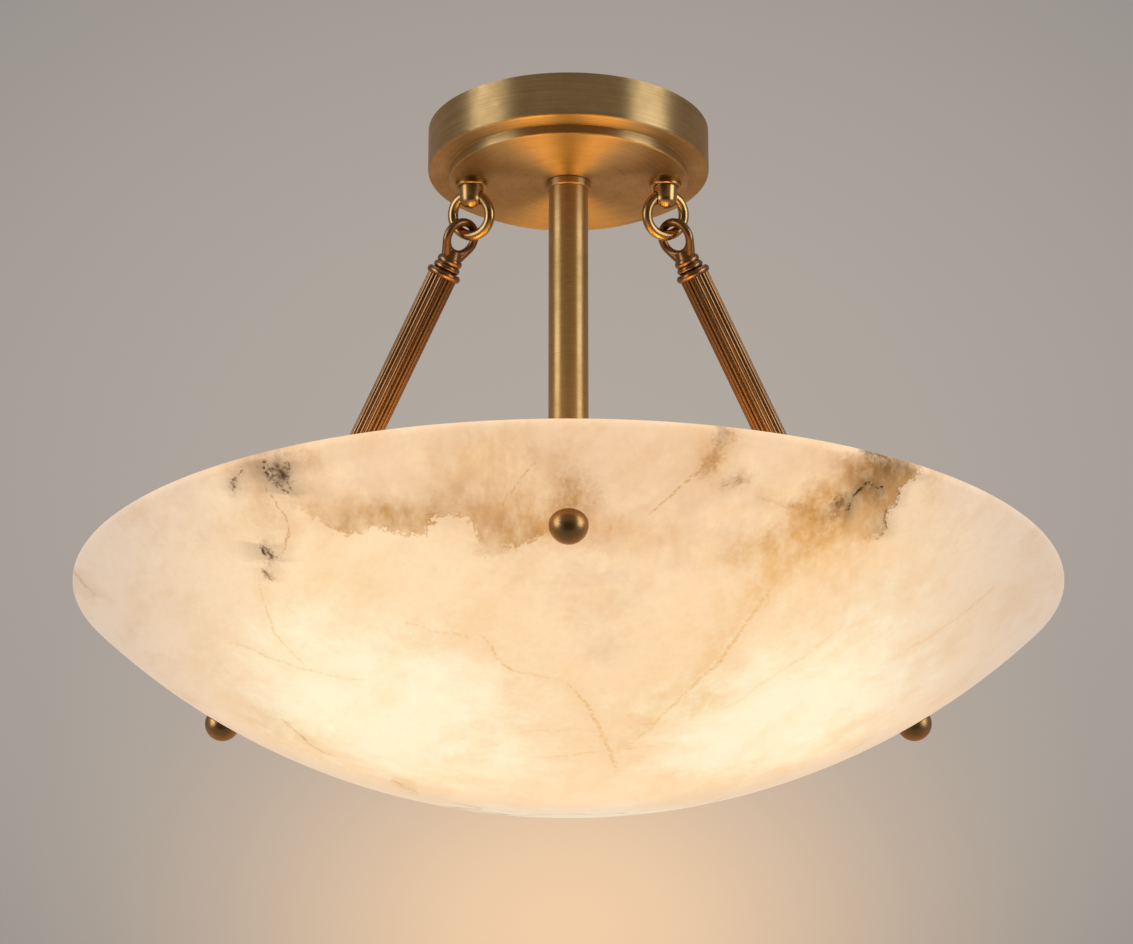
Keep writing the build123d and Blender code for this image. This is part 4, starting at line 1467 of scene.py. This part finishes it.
@dataclass
class Studio:
    """Camera, lamps, room and floor, in metres, with the wall's reach across and up in radians."""

    camera_place: Place = (-0.0009, -1.8, -0.8346)
    camera_pitch: float = 110.14
    lens: float = 129.9
    sensor: float = 36.0
    sight: float = 100.0
    floor_height: float = -3.5
    floor_size: float = 160.0
    floor_rough: float = 0.8
    floor_grain: float = 4.0
    floor_light: Colour = srgb(198, 191, 183)
    floor_shade: Colour = srgb(190, 183, 175)
    wall_low: Colour = srgb(150, 145, 141)
    wall_high: Colour = srgb(177, 168, 159)
    wall_middle: float = 0.3515
    wall_reach: Range = (0.134, 0.11)
    wall_fall: Range = (0.32, 0.45)
    wall_glow: Colour = srgb(242, 206, 168)
    wall_glow_middle: float = 0.24
    wall_glow_reach: Range = (0.078, 0.055)
    room_dark: Colour = srgb(140, 130, 118)
    room_low: Colour = srgb(62, 54, 46)
    room_rise: Range = (-0.2, 0.2)
    room_depth: Range = (-0.25, -0.85)
    room_glow: Colour = srgb(212, 174, 140)
    room_glow_rise: Range = (0.1, -0.25)
    room_glow_depth: Range = (0.0, 0.6)
    light_colour: Colour = (1.0, 0.97, 0.94)
    light_level: float = 0.55
    softbox_aim: Place = (0.0, 0.0, -0.18)
    softbox_power: float = 16.0
    side_box: Place = (1.7, -0.75, 0.05)
    side_box_size: Point = (1.0, 1.6)
    top_box: Place = (0.0, -0.4, 1.8)
    top_box_size: Point = (1.6, 1.2)
    top_box_share: float = 0.5
    glow_lamp: Place = (0.065, 0.0, -0.2425)
    glow_size: Point = (0.08, 0.15)
    glow_power: float = 0.15
    glow_spread: float = 140.0
    glow_colour: Colour = (1.0, 0.47, 0.05)

    def build(self) -> None:
        """Makes everything round the object."""
        self.camera()
        self.world()
        self.floor()
        for side in Side:
            box = side.mirrored(self.side_box)
            self.softbox(f"softbox_{side.value}", box, self.side_box_size, self.softbox_power)
        top_power = self.top_box_share * self.softbox_power
        self.softbox("softbox_top", Vector(self.top_box), self.top_box_size, top_power)
        for side in Side:
            lamp = side.mirrored(self.glow_lamp)
            glow = self.softbox(f"bowl_glow_{side.value}", lamp, self.glow_size, self.glow_power)
            glow.data.spread = math.radians(self.glow_spread)
            glow.data.color = self.glow_colour
            glow.rotation_euler = (math.pi, 0, 0)
            glow.visible_camera = False

    def camera(self) -> None:
        """Sets the camera where the photograph was taken from."""
        data = bpy.data.cameras.new("photo_camera")
        data.lens = self.lens
        data.sensor_width = self.sensor
        data.clip_end = self.sight
        camera = bpy.data.objects.new("photo_camera", data)
        camera.location = self.camera_place
        camera.rotation_euler = (math.radians(self.camera_pitch), 0, 0)
        bpy.context.scene.collection.objects.link(camera)
        bpy.context.scene.camera = camera
        bpy.context.scene.view_settings.view_transform = "Standard"

    def softbox(self, name: str, place: Vector, size: Point, power: float) -> bpy.types.Object:
        """Hangs one soft lamp that points at the light.

        Args:
            name: The lamp's name.
            place: Where it is, in metres.
            size: Width and height in metres.
            power: Its power in watts.

        Returns:
            The lamp.
        """
        data = bpy.data.lights.new(name, "AREA")
        data.shape = "RECTANGLE"
        data.size, data.size_y = size
        data.energy = power
        lamp = bpy.data.objects.new(name, data)
        lamp.location = place
        aim = Vector(self.softbox_aim) - place
        lamp.rotation_euler = aim.to_track_quat("-Z", "Y").to_euler()
        bpy.context.scene.collection.objects.link(lamp)
        return lamp

    def world(self) -> None:
        """Paints a grey room with a warm glow low behind the light."""
        world = bpy.data.worlds.new("grey_room")
        bpy.context.scene.world = world
        world.use_nodes = True
        world.node_tree.nodes.clear()
        wires = Wires(world.node_tree)
        x, y, z = wires.xyz(wires.node("ShaderNodeTexCoord").outputs["Generated"])
        azimuth = wires.calc("ARCTAN2", x, y)
        rise = wires.calc("ARCSINE", z)
        lift = wires.squared(wires.calc("SUBTRACT", rise, self.wall_middle), self.wall_reach[1])
        drift = wires.squared(azimuth, self.wall_reach[0])
        fall = wires.calc(
            "ADD", wires.times(lift, self.wall_fall[1]), wires.times(drift, self.wall_fall[0])
        )
        high = wires.calc("SUBTRACT", 1.0, fall, clamp=True)
        wall = wires.mix(high, self.wall_low, self.wall_high)
        low = wires.calc("SUBTRACT", rise, self.wall_glow_middle)
        low = wires.squared(low, self.wall_glow_reach[1])
        side = wires.squared(azimuth, self.wall_glow_reach[0])
        wall = wires.mix(wires.bell(wires.calc("ADD", low, side)), wall, self.wall_glow)
        path = wires.node("ShaderNodeLightPath").outputs
        mirrored = wires.calc("SUBTRACT", 1.0, path["Is Camera Ray"])
        behind = wires.times(wires.smooth(y, *self.room_depth), mirrored)
        room = wires.mix(wires.smooth(z, *self.room_rise), self.room_low, self.room_dark)
        wall = wires.mix(behind, wall, room)
        under = wires.smooth(z, *self.room_glow_rise)
        under = wires.times(under, wires.smooth(y, *self.room_glow_depth))
        wall = wires.mix(wires.times(under, mirrored), wall, self.room_glow)
        seen = wires.calc("MAXIMUM", path["Is Camera Ray"], path["Is Glossy Ray"])
        seen = wires.calc("MAXIMUM", seen, path["Is Transmission Ray"])
        shown = wires.put(wires.node("ShaderNodeBackground"), Color=wall, Strength=1.0)
        soft = wires.node("ShaderNodeBackground")
        wires.put(soft, Color=self.light_colour, Strength=self.light_level)
        both = wires.node("ShaderNodeMixShader")
        wires.feed(both.inputs[0], seen)
        wires.feed(both.inputs[1], soft.outputs[0])
        wires.feed(both.inputs[2], shown.outputs[0])
        output = wires.node("ShaderNodeOutputWorld")
        wires.feed(output.inputs["Surface"], both.outputs[0])

    def floor(self) -> None:
        """Lays a grey floor well below the light."""
        half = self.floor_size / 2
        mesh = bpy.data.meshes.new("floor")
        corners = [(-half, -half), (half, -half), (half, half), (-half, half)]
        mesh.from_pydata([(x, y, self.floor_height) for x, y in corners], [], [(0, 1, 2, 3)])
        shades = self.floor_light, self.floor_shade
        finish = PlainFinish("pale_floor", *shades, self.floor_rough, grain=self.floor_grain)
        mesh.materials.append(finish.make())
        floor = bpy.data.objects.new("floor", mesh)
        bpy.context.scene.collection.objects.link(floor)
        floor.visible_glossy = False


Dressing = Sequence[Tuple[Finish, Sequence[str]]]


class Dressed:
    """A sub-assembly whose CAD pieces keep their shape and get a finish."""

    def finishes(self) -> Dressing:
        """The finishes, each with the nodes that wear it."""
        raise NotImplementedError

    def dress(self, palette: Palette) -> None:
        """Puts the finishes on.

        Args:
            palette: Where the finishes come from.
        """
        for finish, nodes in self.finishes():
            palette.dress(finish, *nodes)


@dataclass
class Canopy(Dressed):
    """The stepped plate under the ceiling, its collar, eyelets and hidden mounting."""

    brushed: Names = ("canopy", "canopy_collar")
    knobs: Names = ("eyelet_left", "eyelet_right")
    hidden: Names = ("mounting_bar", "ground_screw", "nipple", "nipple_nuts", "eyelet_nuts")

    def finishes(self) -> Dressing:
        """The finishes, each with the nodes that wear it."""
        return (AGED_BRASS, self.brushed), (RING_BRASS, self.knobs), (ZINC_STEEL, self.hidden)


@dataclass
class Stem(Dressed):
    """The tube between the canopy and the lamps."""

    tube: Names = ("stem",)
    bushes: Names = ("stem_top_bush", "stem_bottom_bush")

    def finishes(self) -> Dressing:
        """The finishes, each with the nodes that wear it."""
        return (STEM_BRASS, self.tube), (PLAIN_BRASS, self.bushes)


@dataclass
class RodHanger(Dressed):
    """A ring, a reeded rod with an eye at each end, and the eye bolt below it."""

    side: Side
    top: Place = (48.2778, 5.9416, -44.8621)
    axis: Place = (0.435222, 0.340829, -0.833317)
    length: float = 242.7995
    end_length: float = 28.8
    crest: float = 7.2
    valley: float = 6.65
    reeds: int = 18
    reed_steps: int = 8
    shaft_rows: int = 24
    sharp: float = 50.0

    def shaft(self, palette: Palette) -> None:
        """Makes the reeded tube.

        Args:
            palette: Where the finish comes from.
        """
        run = self.length - 2 * self.end_length
        rows = [(self.crest, run * i / self.shaft_rows) for i in range(self.shaft_rows + 1)]
        piece = node_piece(
            f"reeded_shaft_{self.side.value}",
            profile_mesh("shaft_profile", [(0.0, 0.0), *rows, (0.0, run)]),
            Trees.turned,
            Segments=self.reeds * self.reed_steps,
            Reeds=self.reeds,
            Reed_Depth=(self.crest - self.valley) * MM,
            Crest_Radius=self.crest * MM,
            Finish=palette.get(DARK_BRONZE),
        )
        axis = self.side.mirrored(self.axis)
        start = self.side.mirrored(self.top) + axis * self.end_length
        settle(piece, axes_matrix(start, Vector((1, 0, 0)), axis), self.sharp)
        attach(piece, f"rod_{self.side.value}")
        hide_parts(f"rod_{self.side.value}_shaft")
        LOG.info("built %s", piece.name)

    def finishes(self) -> Dressing:
        """Says which piece wears what.

        Returns:
            The finishes, each with the nodes that wear it.
        """
        side = self.side.value
        parts = [f"{end}_{part}" for end in ("upper", "lower") for part in ("eye", "ferrule")]
        return (
            (RING_BRASS, [f"ring_{side}"]),
            (DARK_BRONZE, [f"rod_{side}_{part}" for part in parts]),
            (PLAIN_BRASS, [f"eye_bolt_{side}"]),
        )


@dataclass
class Bowl(Dressed):
    """The alabaster bowl with its washers and dome nuts."""

    curve: float = 329.0
    wall: float = 10.0
    centre_z: float = -1.0
    rim_z: float = -234.0
    rim_round: float = 2.6
    hole_radius: float = 4.0
    stud_lean: float = 35.8
    studs: int = 3
    outer_rows: int = 72
    inner_rows: int = 60
    round_rows: int = 8
    segments: int = 192
    drill_sides: int = 40
    sharp: float = 40.0
    nuts: Names = ("dome_nut_front", "dome_nut_left", "dome_nut_right")
    washers: Names = ("bowl_inner_washers", "bowl_outer_washers")

    def profile(self) -> List[Point]:
        """The bowl's section from the foot over the rim to the floor inside.

        Returns:
            Points as radius and height in millimetres.
        """
        inner = self.curve - self.wall
        low = self.rim_z - self.rim_round
        drop = low - self.centre_z
        outer_x = math.sqrt((self.curve - self.rim_round) ** 2 - drop**2)
        inner_x = math.sqrt((inner + self.rim_round) ** 2 - drop**2)
        outer_turn = math.degrees(math.atan2(drop, outer_x))
        inner_turn = math.degrees(math.atan2(drop, inner_x))
        centre = (0.0, self.centre_z)
        outside = arc(centre, self.curve, -90.0, outer_turn, self.outer_rows)
        edge = arc((outer_x, low), self.rim_round, outer_turn, 90.0, self.round_rows)
        lip = arc((inner_x, low), self.rim_round, 90.0, inner_turn + 180.0, self.round_rows)
        inside = arc(centre, inner, inner_turn, -90.0, self.inner_rows)
        points = outside + edge[1:] + lip + inside[1:]
        return [(max(r, 0.0), z) for r, z in points]

    def build(self, palette: Palette) -> None:
        """Turns and drills the bowl.

        Args:
            palette: Where the finish comes from.
        """
        piece = node_piece(
            "alabaster_bowl",
            profile_mesh("bowl_profile", self.profile()),
            Trees.drilled,
            Segments=self.segments,
            Holes=self.studs,
            Drill_Sides=self.drill_sides,
            Hole_Radius=self.hole_radius * MM,
            Hole_Lean=math.radians(-self.stud_lean),
            Hole_Place=(0.0, 0.0, (self.wall / 2 - self.curve) * MM),
            Drill_Length=2 * self.wall * MM,
            Drill_Centre=(0.0, 0.0, self.centre_z * MM),
            Finish=palette.get(LIT_ALABASTER),
        )
        settle(piece, Matrix.Identity(4), self.sharp)
        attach(piece, "fixture")
        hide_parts("bowl")
        LOG.info("built %s", piece.name)

    def finishes(self) -> Dressing:
        """The finishes, each with the nodes that wear it."""
        return (DOME_BRASS, self.nuts), (SOFT_WASHER, self.washers)


@dataclass
class LampCluster(Dressed):
    """The cluster under the stem with its three lampholders and lamps."""

    turned: Names = ("cluster_body", "cluster_cover")
    brass: Names = ("holder_nipples", "holder_contacts")

    def finishes(self) -> Dressing:
        """Says which piece wears what.

        Returns:
            The finishes, each with the nodes that wear it.
        """
        lamps = [place.value for place in LampPlace]
        return (
            (STEM_BRASS, self.turned),
            (PLAIN_BRASS, self.brass),
            (PORCELAIN, [f"lampholder_{lamp}" for lamp in lamps]),
            (LAMP_CAP, [f"lamp_{lamp}_base" for lamp in lamps]),
            (FROSTED_GLOBE, [f"lamp_{lamp}_globe" for lamp in lamps]),
        )


@dataclass
class Carrier(Dressed):
    """The three-armed carrier that holds the bowl on the stem."""

    arms: Names = ("carrier_arm_front", "carrier_arm_left", "carrier_arm_right")
    hub: Names = ("carrier_plate", "carrier_bolt", "arm_screws")
    stud: Names = ("front_stud", "front_stud_nut")

    def finishes(self) -> Dressing:
        """The finishes, each with the nodes that wear it."""
        return (ZINC_STEEL, self.arms + self.hub), (PLAIN_BRASS, self.stud)


def main() -> None:
    """Builds the light from the canopy down."""
    logging.basicConfig(level=logging.INFO, format="%(message)s")
    palette = Palette()
    Studio().build()
    Canopy().dress(palette)
    Stem().dress(palette)
    for side in Side:
        hanger = RodHanger(side)
        hanger.shaft(palette)
        hanger.dress(palette)
    bowl = Bowl()
    bowl.build(palette)
    bowl.dress(palette)
    LampCluster().dress(palette)
    Carrier().dress(palette)
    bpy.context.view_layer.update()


if __name__ == "__main__":
    main()
